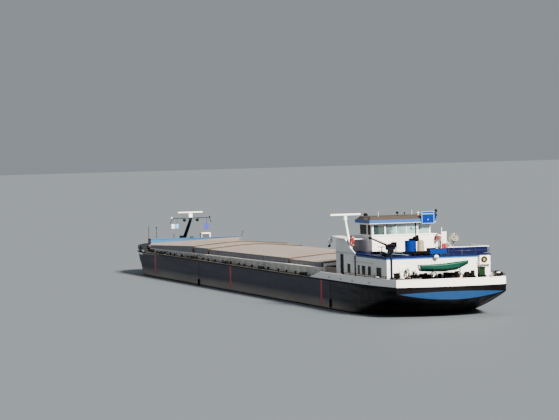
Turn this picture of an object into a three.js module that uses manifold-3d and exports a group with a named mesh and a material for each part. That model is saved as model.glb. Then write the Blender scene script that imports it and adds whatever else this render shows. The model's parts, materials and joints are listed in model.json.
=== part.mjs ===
// River cargo barge, a 1:10 scale model of an 85 m self-propelled dry cargo vessel.
// Millimetres of the model. +X runs forward to the bow, +Y to port, +Z up. The origin lies on the
// centreline, amidships, on the underside of the flat bottom.
import * as THREE from 'three';
import { mergeVertices } from 'three/addons/utils/BufferGeometryUtils.js';
import Module from 'manifold-3d';

const wasm = await Module();
wasm.setup();

// Driving dimensions
const length = 8500;
const beam = 950;
const depth = 341;
const gap = 0.3;
const halfBeam = beam / 2;
const bowEnd = length / 2;
const sternEnd = -length / 2;
const deck = depth + gap;

// Hull form
const bowRun = 950;
const bowRake = 380;
const rakePower = 1.2;
const bowPower = 3;
const sternTurn = -3400;
const sternNarrow = 75;
const sternPower = 1.8;
const transomRound = 60;
const transomFlat = 40;
const runStart = -2950;
const transomKeel = 241;
const transomSide = 298;
const sideStart = -2700;
const keelPower = 1.47;
const bilgeRadius = 30;

// Hull blocks and hold
const sternJoint = -2605;
const bowJoint = 3385;
const holdAft = -2330;
const holdFore = 3345;
const holdHalf = 392;
const doubleBottom = 45;

// Hatch, in a frame that tilts with its rails
const railSlope = 0.0069;
const ledgeTop = 400;
const ledgeHalf = 437;
const ledgeSheet = 5;
const coamingSheet = 8;
const coamingHalf = holdHalf + coamingSheet;
const coverSheet = 3;
const coverStep = 8.2;
const coverHalf = 433;
const coverEdge = 459.9;
const coverCrown = 30;
const coverShoulder = 27;
const shoulderAt = 0.25;
const foreDrop = 32;
const stayPitch = 190;

// Stern gear
const shaftHeight = 78;
const propellerRadius = 66;
const propellerX = -3640;
const tunnelRadius = 84;
const shaftTubeEnd = -3606;
const rudderX = -3755;
const rudderY = 42;
const rudderChord = 135;
const rudderBack = 95;
const rudderTop = 118;
const rudderFoot = 12;
const stockRadius = 7;
const bearingFoot = 124;

// Superstructure
const houseFore = -2620;
const houseAft = -3911;
const houseHalf = 390;
const wall = 6;
const roofSheet = 6;
const roofTop = 545;
const bridgeFore = -2710;
const bridgeAft = -3030;
const bridgeHalf = 228;
const bridgeTop = 759;
const bridgeSill = 674;
const bridgeHead = 751;
const fasciaTop = 787;
const bridgeCrown = 811;
const frontBlockTop = 640;

// Fore mast
const mastSlot = 20;
const mastRadius = 18;

const paint = {
  hullBlack: { color: 0x34363c, roughness: 0.7, metalness: 0.1 },
  deckGrey: { color: 0x6d6a66, roughness: 0.8, metalness: 0.1 },
  white: { color: 0xe9e8e4, roughness: 0.55, metalness: 0.05 },
  coaming: { color: 0xa7a294, roughness: 0.8, metalness: 0.1 },
  cover: { color: 0xb3a79c, roughness: 0.7, metalness: 0.2 },
  lightBlue: { color: 0x5f9bc4, roughness: 0.6, metalness: 0.05 },
  deepBlue: { color: 0x2f5fb0, roughness: 0.6, metalness: 0.05 },
  navy: { color: 0x263247, roughness: 0.6, metalness: 0.1 },
  bronze: { color: 0x9a7b45, roughness: 0.4, metalness: 0.8 },
  green: { color: 0x3d7d6b, roughness: 0.6, metalness: 0.05 },
  beige: { color: 0xcbb9a8, roughness: 0.7, metalness: 0.05 },
  violet: { color: 0x6d74c9, roughness: 0.9, metalness: 0 },
  red: { color: 0xb3352f, roughness: 0.8, metalness: 0 },
  black: { color: 0x1d1e21, roughness: 0.7, metalness: 0.2 },
};

const barge = new THREE.Group();

// Solid helpers

function solidOf(geometry) {
  const bare = geometry.clone();
  bare.deleteAttribute('normal');
  bare.deleteAttribute('uv');
  const merged = mergeVertices(bare, 1e-4);
  const index = merged.index.array;
  const triVerts = [];
  for (let i = 0; i < index.length; i += 3) {
    const [a, b, c] = [index[i], index[i + 1], index[i + 2]];
    if (a !== b && b !== c && a !== c) triVerts.push(a, b, c);
  }
  const vertProperties = new Float32Array(merged.attributes.position.array);
  const mesh = new wasm.Mesh({ numProp: 3, vertProperties, triVerts: new Uint32Array(triVerts) });
  return new wasm.Manifold(mesh);
}

function geometryOf(solid) {
  const mesh = solid.getMesh();
  const geometry = new THREE.BufferGeometry();
  geometry.setAttribute('position', new THREE.BufferAttribute(new Float32Array(mesh.vertProperties), 3));
  geometry.setIndex(Array.from(mesh.triVerts));
  geometry.computeVertexNormals();
  return geometry;
}

function join(...solids) {
  return solids.flat().reduce((whole, piece) => whole.add(piece));
}

function cut(solid, ...tools) {
  return tools.flat().reduce((rest, tool) => rest.subtract(tool), solid);
}

function block(x0, x1, y0, y1, z0, z1) {
  const geometry = new THREE.BoxGeometry(x1 - x0, y1 - y0, z1 - z0);
  geometry.translate((x0 + x1) / 2, (y0 + y1) / 2, (z0 + z1) / 2);
  return solidOf(geometry);
}

// A block whose top is smaller than its foot, by an inset at its ends and another at its sides.
function frustum(x0, x1, y0, y1, z0, z1, endInset, sideInset) {
  const geometry = new THREE.BoxGeometry(x1 - x0, y1 - y0, z1 - z0);
  const place = geometry.attributes.position;
  for (let i = 0; i < place.count; i += 1) {
    const [x, y] = [place.getX(i), place.getY(i)];
    if (place.getZ(i) > 0) place.setXY(i, x - Math.sign(x) * endInset, y - Math.sign(y) * sideInset);
  }
  geometry.translate((x0 + x1) / 2, (y0 + y1) / 2, (z0 + z1) / 2);
  return solidOf(geometry);
}

function rod(from, to, radius, sides = 8, endRadius = radius) {
  const start = new THREE.Vector3(...from);
  const way = new THREE.Vector3(...to).sub(start);
  const geometry = new THREE.CylinderGeometry(endRadius, radius, way.length(), sides);
  geometry.translate(0, way.length() / 2, 0);
  const turn = new THREE.Quaternion().setFromUnitVectors(new THREE.Vector3(0, 1, 0), way.normalize());
  geometry.applyQuaternion(turn);
  geometry.translate(start.x, start.y, start.z);
  return solidOf(geometry);
}

// Extrudes an outline of [u, v] points along a world axis between two places on it.
function prism(outline, axis, from, to) {
  const shape = new THREE.Shape(outline.map(([u, v]) => new THREE.Vector2(u, v)));
  const geometry = new THREE.ExtrudeGeometry(shape, { depth: to - from, bevelEnabled: false });
  const X = new THREE.Vector3(1, 0, 0);
  const Y = new THREE.Vector3(0, 1, 0);
  const Z = new THREE.Vector3(0, 0, 1);
  if (axis === 'x') geometry.applyMatrix4(new THREE.Matrix4().makeBasis(Y, Z, X)).translate(from, 0, 0);
  const upright = new THREE.Matrix4().makeBasis(X, Z, Y.clone().negate());
  if (axis === 'y') geometry.applyMatrix4(upright).translate(0, to, 0);
  if (axis === 'z') geometry.translate(0, 0, from);
  return solidOf(geometry);
}

// Skins closed rings of equal count, each a list of [y, z] at its own x, from low x to high x.
function loft(rings) {
  const count = rings[0].points.length;
  const position = [];
  const index = [];
  for (const { x, points } of rings) points.forEach(([y, z]) => position.push(x, y, z));
  for (let ring = 0; ring + 1 < rings.length; ring += 1) {
    for (let i = 0; i < count; i += 1) {
      const a = ring * count + i;
      const b = ring * count + (i + 1) % count;
      index.push(a, b, a + count, b, b + count, a + count);
    }
  }
  const capFaces = (ring) => {
    const contour = rings[ring].points.map(([y, z]) => new THREE.Vector2(y, z));
    return THREE.ShapeUtils.triangulateShape(contour, []).map((face) => face.map((i) => i + ring * count));
  };
  capFaces(0).forEach(([a, b, c]) => index.push(c, b, a));
  capFaces(rings.length - 1).forEach(([a, b, c]) => index.push(a, b, c));
  const geometry = new THREE.BufferGeometry();
  geometry.setAttribute('position', new THREE.Float32BufferAttribute(position, 3));
  geometry.setIndex(index);
  return solidOf(geometry);
}

function add(name, solid, finish, parent = barge) {
  const mesh = new THREE.Mesh(geometryOf(solid), new THREE.MeshStandardMaterial(finish));
  mesh.name = name;
  parent.add(mesh);
  return mesh;
}

function clamp(value, low, high) {
  return Math.min(Math.max(value, low), high);
}

// Hull form, as breadths and bottom heights at a station

function bowBreadth(x, z) {
  const end = bowEnd - bowRake * (1 - Math.min(z, depth) / depth) ** rakePower;
  const t = clamp((x - end + bowRun) / bowRun, 0, 1);
  return halfBeam * (1 - t ** bowPower) ** (1 / bowPower);
}

function sternBreadth(x) {
  const t = clamp((sternTurn - x) / (sternTurn - sternEnd), 0, 1);
  return halfBeam - sternNarrow * t ** sternPower;
}

function transomCut(x) {
  const t = clamp((sternEnd + transomRound - x) / transomRound, 0, 1);
  return (1 - Math.sqrt(1 - t)) * (sternBreadth(sternEnd) - transomFlat);
}

function breadth(x, z) {
  return Math.max(x < 0 ? sternBreadth(x) - transomCut(x) : bowBreadth(x, z), 6);
}

function bottom(x, y) {
  if (x > 0) return depth * (1 - clamp((bowEnd - x) / bowRake, 0, 1) ** (1 / rakePower));
  const rise = (start) => clamp((start - x) / (start - sternEnd), 0, 1);
  const keel = transomKeel * rise(runStart) ** keelPower;
  const side = transomSide * rise(sideStart);
  return keel + (side - keel) * (y / sternBreadth(x)) ** 2;
}

function hullRing(x) {
  const foot = breadth(x, bottom(x, 0));
  const radius = Math.min(bilgeRadius, 0.3 * (depth - bottom(x, foot)), 0.4 * foot);
  const flat = foot - radius;
  const half = [0.4, 0.75, 1].map((u) => [u * flat, bottom(x, u * flat)]);
  const low = bottom(x, flat);
  for (const degrees of [30, 60, 90]) {
    const turn = THREE.MathUtils.degToRad(degrees);
    const z = low + radius * (1 - Math.cos(turn));
    half.push([breadth(x, z) - radius * (1 - Math.sin(turn)), z]);
  }
  for (const share of [0.35, 0.7, 1]) {
    const z = low + radius + share * (depth - low - radius);
    half.push([breadth(x, z), z]);
  }
  const mirrored = half.map(([y, z]) => [-y, z]).reverse();
  return { x, points: [[0, bottom(x, 0)], ...half, ...mirrored] };
}

function hullSolid() {
  const sternStations = [
    -4250, -4245, -4235, -4220, -4203, -4190, -4100, -3950, -3800, -3650, -3500, -3350,
    -3200, -3050, -2950, -2825, -2700,
  ];
  const bowStations = [2900, 3150, 3350, 3550, 3700, 3820, 3900, 3980, 4050, 4110, 4160, 4205, 4235, 4249];
  return loft([...sternStations, ...bowStations].map(hullRing));
}

// A double bollard on its base plate, standing on the deck and running along x.
function bollard(x, y, height = 34, spread = 26) {
  const posts = [-spread / 2, spread / 2].map((shift) => join(
    rod([x + shift, y, depth - 2], [x + shift, y, depth + height], 6.5, 10),
    rod([x + shift, y, depth + height - 5], [x + shift, y, depth + height], 9, 10),
  ));
  return join(block(x - spread, x + spread, y - 10, y + 10, depth - 2, depth + 4), posts);
}

function hullBlocks() {
  const hull = hullSolid();
  const reach = [-halfBeam - 10, halfBeam + 10, -10, depth + 10];
  const part = (from, to) => hull.intersect(block(from, to, ...reach));
  const hold = block(holdAft, holdFore, -holdHalf, holdHalf, doubleBottom, depth + 20);
  const bollardXs = [-2000, -900, 300, 1500, 2700];
  const sideBollards = bollardXs.flatMap((x) => [1, -1].map((side) => bollard(x, side * 456, 26, 24)));
  const middle = join(cut(part(sternJoint + gap, bowJoint - gap), hold), sideBollards);
  const bowBollards = [[3560, 405], [3960, 320]].flatMap(([x, y]) => [bollard(x, y), bollard(x, -y)]);
  const tabernacle = cut(
    block(3892, 3950, -29, 29, depth - 2, depth + 44),
    block(3870, 3970, -mastSlot, mastSlot, depth + 2, depth + 60),
  );
  const ball = new THREE.SphereGeometry(7, 10, 6);
  ball.translate(3650, 305, 554);
  const ballStaff = join(rod([3650, 305, depth - 2], [3650, 305, 554], 2.5, 6), solidOf(ball));
  const bow = join(part(bowJoint, bowEnd + 10), bowBollards, tabernacle, ballStaff);
  const sternPairs = [[-4090, 330], [-3800, 430]];
  const sternBollards = sternPairs.flatMap(([x, y]) => [bollard(x, y, 60), bollard(x, -y, 60)]);
  const stern = join(sternBlock(part(sternEnd - 10, sternJoint)), sternBollards);
  add('hull_stern_block', stern, paint.hullBlack);
  add('hull_hold_block', middle, paint.hullBlack);
  add('hull_bow_block', bow, paint.hullBlack);
}

// The aft block with its propeller tunnel, skeg, stern tube and rudder bearings
function sternBlock(solid) {
  const nose = new THREE.SphereGeometry(tunnelRadius, 24, 12);
  nose.scale(3.4, 1, 1).translate(-3600, 0, shaftHeight);
  const bore = rod([-4020, 0, shaftHeight], [-3600, 0, shaftHeight], tunnelRadius, 24);
  const tunnel = join(bore, solidOf(nose));
  const skegSide = [[-3000, 0], [-3540, 0], [-3596, 40], [-3596, 170], [-3200, 120], [-3000, 40]];
  const skeg = prism(skegSide, 'y', -9, 9);
  const tube = rod([-3400, 0, shaftHeight], [shaftTubeEnd, 0, shaftHeight], 15, 12);
  const bearingHead = 180;
  const bearings = [rudderY, -rudderY].map(
    (y) => rod([rudderX, y, bearingFoot], [rudderX, y, bearingHead], 13, 12),
  );
  const engineRoom = block(-3260, -2960, -160, 160, 90, depth + 5);
  return cut(join(cut(solid, tunnel), skeg, tube, bearings), engineRoom);
}

// Bulwarks are thin walls that follow the hull's edge

// Moves a path of [x, y] points sideways, to the right of its run, with mitred corners.
function offsetPath(path, distance) {
  const way = (a, b) => new THREE.Vector2(b[0] - a[0], b[1] - a[1]).normalize();
  return path.map(([x, y], i) => {
    const into = way(path[Math.max(i - 1, 0)], path[Math.max(i, 1)]);
    const out = way(path[Math.min(i, path.length - 2)], path[Math.min(i + 1, path.length - 1)]);
    const along = into.clone().add(out).normalize();
    const reach = distance / along.dot(into);
    return [x + along.y * reach, y - along.x * reach];
  });
}

function edgeWall(xs, thickness, top) {
  const port = xs.map((x) => [x, breadth(x, depth)]);
  const path = [...port, ...port.map(([x, y]) => [x, -y]).reverse()];
  const inward = xs[0] > 0 ? thickness : -thickness;
  return prism([...path, ...offsetPath(path, inward).reverse()], 'z', deck, top);
}

function bulwarks() {
  const bowXs = [3475, 3600, 3750, 3880, 3980, 4060, 4120, 4170, 4210, 4235, 4249];
  const above = [[3460, 352], [3560, 352], [3720, 372], [4260, 390], [4260, 460], [3460, 460]];
  const bowTop = prism(above, 'y', -500, 500);
  add('bow_bulwark', cut(edgeWall(bowXs, 6, 430), bowTop), paint.white);
  const sternXs = [-2181, -3300, -3500, -3700, -3900, -4100, -4190, -4203, -4220, -4235, -4245, -4250];
  const sternTop = [[-2170, 341.6], [-2462, 389], [-3490, 391], [-4260, 393], [-4260, 460], [-2170, 460]];
  add('stern_bulwark', cut(edgeWall(sternXs, 6, 430), prism(sternTop, 'y', -500, 500)), paint.white);
}

// The wave breaker stands across the foredeck just ahead of the hatch, with a signal staff at each end.
function waveBreaker() {
  const x = 3398;
  const half = 430;
  const top = 456;
  const sheet = block(x, x + 6, -half, half, deck, top);
  const flange = block(x - 4, x + 14, -half, half, top - 4, top);
  const kneeSide = [[x + 5, deck], [x + 50, deck], [x + 5, top - 30]];
  const knees = [-300, -100, 100, 300].map((y) => prism(kneeSide, 'y', y - 3, y + 3));
  const portStaff = rod([x + 3, 437, top - 62], [x + 3, 437, 578], 3, 6);
  const starboardPole = rod([x + 3, -436, top - 60], [x + 3, -468, 510], 3, 6);
  const brackets = [
    block(x + 1, x + 5, -440, 438, top - 60, top - 54),
    block(x + 1, x + 5, -451, 438, top - 10, top - 4),
  ];
  add('wave_breaker', join(sheet, flange, knees, portStaff, starboardPole, brackets), paint.lightBlue);
}

// Hatch: coaming, ledge and covers, drawn in the tilted hatch frame

function roofLine(half, edge, drop = 0) {
  const crown = [[1, 0], [shoulderAt, coverShoulder], [0, coverCrown]];
  const right = crown.map(([u, rise]) => [u * half, edge - drop + rise]);
  return [...right, ...right.slice(0, 2).map(([y, z]) => [-y, z]).reverse()];
}

function coverRing(x, half, edge, drop, foot) {
  return { x, points: [[half, foot], ...roofLine(half, edge, drop), [-half, foot]] };
}

// A cover is a bent sheet, open below; the fore one has an end wall and a roof that falls forward.
function coverShell({ level, aft, fore, drop }) {
  const half = coverHalf - level * coverStep;
  const edge = coverEdge - level * coverStep;
  const body = (from, to, inset, foot) => loft([
    coverRing(from, half - inset, edge - inset, drop * (from - aft) / (fore - aft), foot),
    coverRing(to, half - inset, edge - inset, drop * (to - aft) / (fore - aft), foot),
  ]);
  const end = drop ? fore - coverSheet : fore + 5;
  return cut(body(aft, fore, 0, ledgeTop + gap), body(aft - 5, end, coverSheet, ledgeTop - 5));
}

// The level of each cover counts down from the highest; x values are its ends.
const covers = [
  { name: 'hatch_cover_fore', level: 0, aft: 1720, fore: 3366, drop: foreDrop },
  { name: 'hatch_cover_short', level: 1, aft: 1200, fore: 1745, drop: 0 },
  { name: 'hatch_cover_long', level: 2, aft: -1380, fore: 1230, drop: 0 },
  { name: 'hatch_cover_aft', level: 3, aft: -2310, fore: -1350, drop: 0 },
];

function coamingRing(x) {
  const level = 3;
  const half = coverHalf - level * coverStep;
  const top = coverEdge - level * coverStep - coverSheet - 5.2;
  const crown = roofLine(half, top).filter(([y]) => Math.abs(y) < coamingHalf);
  const edge = top + coverShoulder * (half - coamingHalf) / (half * (1 - shoulderAt));
  const port = [[coamingHalf, 300], [coamingHalf, edge]];
  const starboard = [[-coamingHalf, edge], [-coamingHalf, 300]];
  return { x, points: [...port, ...crown, ...starboard] };
}

function coaming(tiltBack) {
  const aft = holdAft - coamingSheet;
  const fore = holdFore + coamingSheet;
  const shell = loft([coamingRing(aft), coamingRing(fore)]);
  const low = ledgeTop - foreDrop - 10;
  const foreTop = prism([[2900, 500], [3500, 500], [3500, 424], [3345, 424], [2900, 434]], 'y', -450, 450);
  const well = block(holdAft, holdFore, -holdHalf, holdHalf, 200, 600);
  const ledges = [1, -1].map((side) => {
    const [y0, y1] = [side * (coamingHalf - 2), side * ledgeHalf].sort((a, b) => a - b);
    return block(aft, fore, y0, y1, ledgeTop - ledgeSheet, ledgeTop);
  });
  const stays = [];
  for (let x = aft + 40; x < fore; x += stayPitch) {
    for (const side of [1, -1]) {
      const foot = [
        [coamingHalf - 2, 300], [coamingHalf + 14, 300],
        [ledgeHalf - 3, low + 18], [coamingHalf - 2, low + 38],
      ];
      const outline = foot.map(([y, z]) => [side * y, z]);
      stays.push(prism(side > 0 ? outline : outline.reverse(), 'x', x, x + 5));
    }
  }
  const deckTool = new THREE.BoxGeometry(length, 2 * beam, 400);
  deckTool.translate(0, 0, deck - 200).applyMatrix4(tiltBack);
  return cut(join(cut(shell, foreTop, well), ledges, stays), solidOf(deckTool));
}

function hatch() {
  const frame = new THREE.Group();
  frame.rotation.y = railSlope;
  barge.add(frame);
  const tiltBack = new THREE.Matrix4().makeRotationY(-railSlope);
  add('hatch_coaming', coaming(tiltBack), paint.coaming, frame);
  for (const cover of covers) add(cover.name, coverShell(cover), paint.cover, frame);
}

// The low trunk between the hatch and the deckhouse
function aftTrunk() {
  const body = block(-2606, -2356, -392, 392, deck, 418);
  const lid = block(-2606, -2350, -400, 400, 416, 424);
  const room = block(-2600, -2362, -386, 386, deck - 10, 412);
  add('aft_trunk', cut(join(body, lid), room), paint.cover);
}

// Windows of the port side, mirrored to starboard; x0 is the aft edge.
const sideWindows = [
  { x0: -3002, x1: -2914 },
  { x0: -3242, x1: -3185 },
  { x0: -3385, x1: -3286 },
  { x0: -3524, x1: -3437 },
  { x0: -3780, x1: -3648 },
];
const windowFoot = 397;
const windowHead = 468;
const sideDoor = { x0: -2819, x1: -2733, z0: 348, z1: 532 };

function deckhouse() {
  const outer = block(houseAft, houseFore, -houseHalf, houseHalf, deck, roofTop - roofSheet - gap);
  const inner = block(houseAft + wall, houseFore - wall, wall - houseHalf, houseHalf - wall, 300, 600);
  const openings = sideWindows.map(({ x0, x1 }) => block(x0, x1, -500, 500, windowFoot, windowHead));
  const doorway = block(sideDoor.x0, sideDoor.x1, -500, 500, sideDoor.z0, sideDoor.z1);
  const frontWindows = [-260, -90, 90, 260].map((y) => block(-2640, -2600, y - 50, y + 50, 452, 515));
  add('deckhouse_walls', cut(outer, inner, openings, doorway, frontWindows), paint.white);
  const eave = houseHalf + 5;
  const slab = block(houseAft - 8, houseFore + 4, -eave, eave, roofTop - roofSheet, roofTop);
  add('deckhouse_roof', slab, paint.navy);
  for (const side of [1, -1]) {
    const [y0, y1] = [side * houseHalf, side * (houseHalf - wall)].sort((a, b) => a - b);
    const leaf = block(sideDoor.x0 + gap, sideDoor.x1 - gap, y0, y1, sideDoor.z0 + gap, sideDoor.z1 - gap);
    const knob = rod([-2740, side * (houseHalf - 1), 440], [-2740, side * (houseHalf + 6), 440], 3);
    add(side > 0 ? 'port_door' : 'starboard_door', join(leaf, knob), paint.navy);
  }
}

// The wings of the front house climb forward from its aft edge.
const wingAft = -2885;
const wingFore = -2525;
const wingRise = 12;

function riseForward(point) {
  point[2] += wingRise * (point[0] - wingAft) / (wingFore - wingAft);
}

function bridgeSurroundings() {
  const floor = roofTop + gap;
  const frontAft = bridgeFore + 6;
  const frontHouse = cut(
    block(frontAft, houseFore, -houseHalf, houseHalf, floor, frontBlockTop),
    block(
      frontAft + wall, houseFore - wall, wall - houseHalf, houseHalf - wall,
      floor - 10, frontBlockTop - wall,
    ),
  );
  add('bridge_front_house', frontHouse, paint.white);
  const screenFore = frontAft - 1;
  const screen = [
    [-3130, floor], [-2936, 604], [-2885, frontBlockTop], [screenFore, frontBlockTop], [screenFore, floor],
  ];
  add('port_screen', prism(screen, 'y', houseHalf - 6, houseHalf), paint.white);
  add('starboard_screen', prism(screen, 'y', -houseHalf, 6 - houseHalf), paint.white);
  const wingIn = bridgeHalf + 6;
  const wingOut = houseHalf + 3;
  const canopy = [
    [wingFore, wingOut], [wingAft, wingOut], [wingAft, wingIn], [frontAft, wingIn],
    [frontAft, -wingIn], [-2780, -wingIn], [-2780, -wingOut], [wingFore, -wingOut],
  ];
  const wings = prism(canopy, 'z', frontBlockTop + gap, 647);
  add('wing_canopy', wings.warp(riseForward), paint.white);
  const lockerSide = -283;
  const lockerFore = -2900;
  const lockerTop = 672;
  const locker = cut(
    block(bridgeAft, lockerFore, lockerSide, -bridgeHalf - gap, floor, lockerTop),
    block(
      bridgeAft + wall, lockerFore - wall, lockerSide + wall, -bridgeHalf - gap - wall,
      floor - 10, lockerTop - wall,
    ),
  );
  add('companion_locker', locker, paint.white);
}

// Openings of the wheelhouse: the wall they pierce, and their ends along it.
const bridgeWindows = [
  { wall: 'aft', from: 128, to: 218 },
  { wall: 'aft', from: -122, to: 122 },
  { wall: 'aft', from: -218, to: -132 },
  { wall: 'fore', from: 80, to: 216 },
  { wall: 'fore', from: -68, to: 68 },
  { wall: 'fore', from: -216, to: -80 },
  { wall: 'port', from: -2900, to: -2726 },
  { wall: 'port', from: -3008, to: -2924 },
  { wall: 'starboard', from: -3014, to: -2905 },
  { wall: 'starboard', from: -2785, to: -2726 },
];
const bridgeDoor = { x0: -2890, x1: -2800, z0: 552, z1: 750 };

function windowTool({ wall: face, from, to }) {
  const z = [bridgeSill, bridgeHead];
  if (face === 'aft') return block(bridgeAft - 10, bridgeAft + 10, from, to, ...z);
  if (face === 'fore') return block(bridgeFore - 10, bridgeFore + 10, from, to, ...z);
  if (face === 'port') return block(from, to, bridgeHalf - 10, bridgeHalf + 10, ...z);
  return block(from, to, -bridgeHalf - 10, 10 - bridgeHalf, ...z);
}

function wheelhouse() {
  const outer = block(bridgeAft, bridgeFore, -bridgeHalf, bridgeHalf, roofTop + gap, bridgeTop);
  const inner = block(bridgeAft + wall, bridgeFore - wall, wall - bridgeHalf, bridgeHalf - wall, 500, 800);
  const { x0, x1, z0, z1 } = bridgeDoor;
  const doorway = block(x0, x1, -bridgeHalf - 10, 10 - bridgeHalf, z0, z1);
  add('wheelhouse_walls', cut(outer, inner, bridgeWindows.map(windowTool), doorway), paint.white);
  const leaf = block(x0 + gap, x1 - gap, -bridgeHalf, wall - bridgeHalf, z0 + gap, z1 - gap);
  const glass = block(x0 + 12, x1 - 12, -bridgeHalf - 5, wall - bridgeHalf + 5, bridgeSill, z1 - 10);
  add('wheelhouse_door', cut(leaf, glass), paint.white);
  const fascia = block(-3075, -2695, -258, 258, bridgeTop + gap, fasciaTop);
  const crown = frustum(-3068, -2702, -250, 250, fasciaTop - 1, bridgeCrown, 50, 16);
  add('wheelhouse_roof', join(fascia, crown, boardLugs()), paint.lightBlue);
  const floor = roofTop + gap;
  const consoleSide = [[-2800, 640], [-2745, 655], [-2745, floor], [-2800, floor]];
  const console = prism(consoleSide, 'y', -120, 120);
  add('helm_console', console, paint.navy);
  const seat = join(
    rod([-2890, 0, floor], [-2890, 0, 592], 8, 10),
    block(-2915, -2862, -26, 26, 590, 602),
    block(-2922, -2912, -26, 26, 590, 668),
  );
  add('helm_chair', seat, paint.black);
}

// Propeller of four raked blades on a coned hub
function propeller() {
  const hub = rod([shaftTubeEnd - gap, 0, 0], [propellerX - 30, 0, 0], 15, 12, 8);
  const blades = [];
  for (let i = 0; i < 4; i += 1) {
    const outline = [[-14, 6], [14, 6], [24, 36], [18, 60], [0, propellerRadius], [-18, 60], [-24, 36]];
    const shape = new THREE.Shape(outline.map(([u, v]) => new THREE.Vector2(u, v)));
    const geometry = new THREE.ExtrudeGeometry(shape, { depth: 3, bevelEnabled: false });
    geometry.translate(0, 0, -1.5).rotateY(THREE.MathUtils.degToRad(58)).rotateX(i * Math.PI / 2);
    geometry.translate(propellerX, 0, 0);
    blades.push(solidOf(geometry));
  }
  const mesh = add('propeller', join(hub, blades), paint.bronze);
  mesh.position.z = shaftHeight;
}

function rudder(name, y) {
  const nose = [];
  for (let i = 0; i <= 6; i += 1) {
    const turn = Math.PI * (i / 6 - 0.5);
    nose.push([(rudderChord - rudderBack) * Math.cos(turn), 8 * Math.sin(turn)]);
  }
  const blade = prism([...nose, [-rudderBack, 1.5], [-rudderBack, -1.5]], 'z', rudderFoot, rudderTop);
  const stock = rod([0, 0, rudderTop - 4], [0, 0, bearingFoot - gap], stockRadius, 12);
  const mesh = add(name, join(blade, stock), paint.navy);
  mesh.position.set(rudderX, y, 0);
}

// The fore mast folds at its foot; its centreline runs from the hinge up and aft.
const mastFoot = { x: 3921, z: 366 };
const mastTop = { x: 3527, z: 631 };
const bowScanner = { y: 6, z: 684 };
const flagDrop = 52;
const mastFlags = [
  { name: 'flag_white', y: 172, width: 28, height: 42, finish: paint.white },
  { name: 'flag_light_blue', y: 134, width: 32, height: 42, finish: paint.lightBlue },
  { name: 'flag_violet', y: -152, width: 40, height: 56, finish: paint.violet },
];

function foreMast() {
  const foot = [mastFoot.x, 0, mastFoot.z];
  const top = [mastTop.x, 0, mastTop.z];
  const spar = rod(foot, top, mastRadius, 10, 13);
  const reach = mastSlot - gap;
  const pin = rod([mastFoot.x, -reach, mastFoot.z], [mastFoot.x, reach, mastFoot.z], 14, 12);
  const yardZ = mastTop.z + 7;
  const yardX = mastTop.x + 6;
  const yard = rod([yardX, -182, yardZ], [yardX, 182, yardZ], 3, 6);
  const ends = [1, -1].map(
    (side) => rod([yardX, side * 176, yardZ + 6], [yardX, side * 198, yardZ - 48], 3, 6),
  );
  const lamps = [62, -62].map((y) => join(
    rod([mastTop.x - 6, y, yardZ - 20], [mastTop.x + 22, y, yardZ - 20], 12, 10),
    rod([yardX, y, yardZ - 12], [yardX, y, yardZ], 3, 6),
  ));
  const flagYs = mastFlags.map(({ y }) => y);
  const halyards = flagYs.map((y) => rod([yardX, y, yardZ], [yardX, y, yardZ - flagDrop], 1.5, 6));
  const { y, z } = bowScanner;
  const housing = rod([mastTop.x, y, mastTop.z - 12], [mastTop.x, y, z], 14, 10, 11);
  add('bow_mast', join(spar, pin, yard, ends, lamps, halyards, housing), paint.navy);
  const bar = block(mastTop.x - 7, mastTop.x + 7, y - 118, y + 118, z + 4, z + 14);
  const scanner = join(bar, rod([mastTop.x, y, z + gap], [mastTop.x, y, z + 5], 8, 10));
  add('bow_scanner', scanner, paint.white);
  const flagTop = yardZ - flagDrop - gap;
  for (const flag of mastFlags) {
    const [side, foot] = [flag.width / 2, flagTop - flag.height];
    const cloth = block(mastTop.x + 4, mastTop.x + 8, flag.y - side, flag.y + side, foot, flagTop);
    add(flag.name, cloth, flag.finish);
  }
}

const radarFoot = { x: -2945, y: 366 };
const radarTop = { x: -2822, y: 370, z: 818 };

function aftRadar() {
  const foot = radarFoot;
  const { x, y, z } = radarTop;
  const plate = block(foot.x - 18, foot.x + 18, foot.y - 16, foot.y + 16, roofTop + gap, roofTop + 8);
  const pole = rod([foot.x, foot.y, roofTop + 4], [x, y, z - 24], 9, 10, 7);
  const housing = rod([x, y, z - 30], [x, y, z], 15, 12, 11);
  add('aft_radar_mast', join(plate, pole, housing), paint.white);
  const bar = block(x - 7, x + 7, y - 116, y + 116, z + 4, z + 16);
  const scanner = join(bar, rod([x, y, z + gap], [x, y, z + 5], 8, 10));
  add('aft_scanner', scanner, paint.white);
}

// Boat crane on the port quarter: a slewing post and a luffing boom
const crane = { x: -4050, y: 400, head: 625, tipX: -3534, tipZ: 676 };

function boatCrane() {
  const { x, y, head, tipX, tipZ } = crane;
  const post = join(
    rod([x, y, deck], [x, y, deck + 60], 14, 12),
    rod([x, y, deck + 50], [x, y, head - 14], 9, 12),
    block(x - 16, x + 16, y - 16, y - 9, head - 22, head + 12),
    block(x - 16, x + 16, y + 9, y + 16, head - 22, head + 12),
    block(x - 16, x + 16, y - 16, y + 16, head - 26, head - 14),
  );
  add('crane_post', post, paint.navy);
  const boom = join(
    rod([x, y, head], [tipX, y, tipZ], 8, 8, 5),
    rod([x, y - 8.6, head], [x, y + 8.6, head], 9, 10),
    block(tipX - 6, tipX + 6, y - 6, y + 6, tipZ - 10, tipZ + 5),
  );
  add('crane_boom', boom, paint.navy);
}

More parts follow.
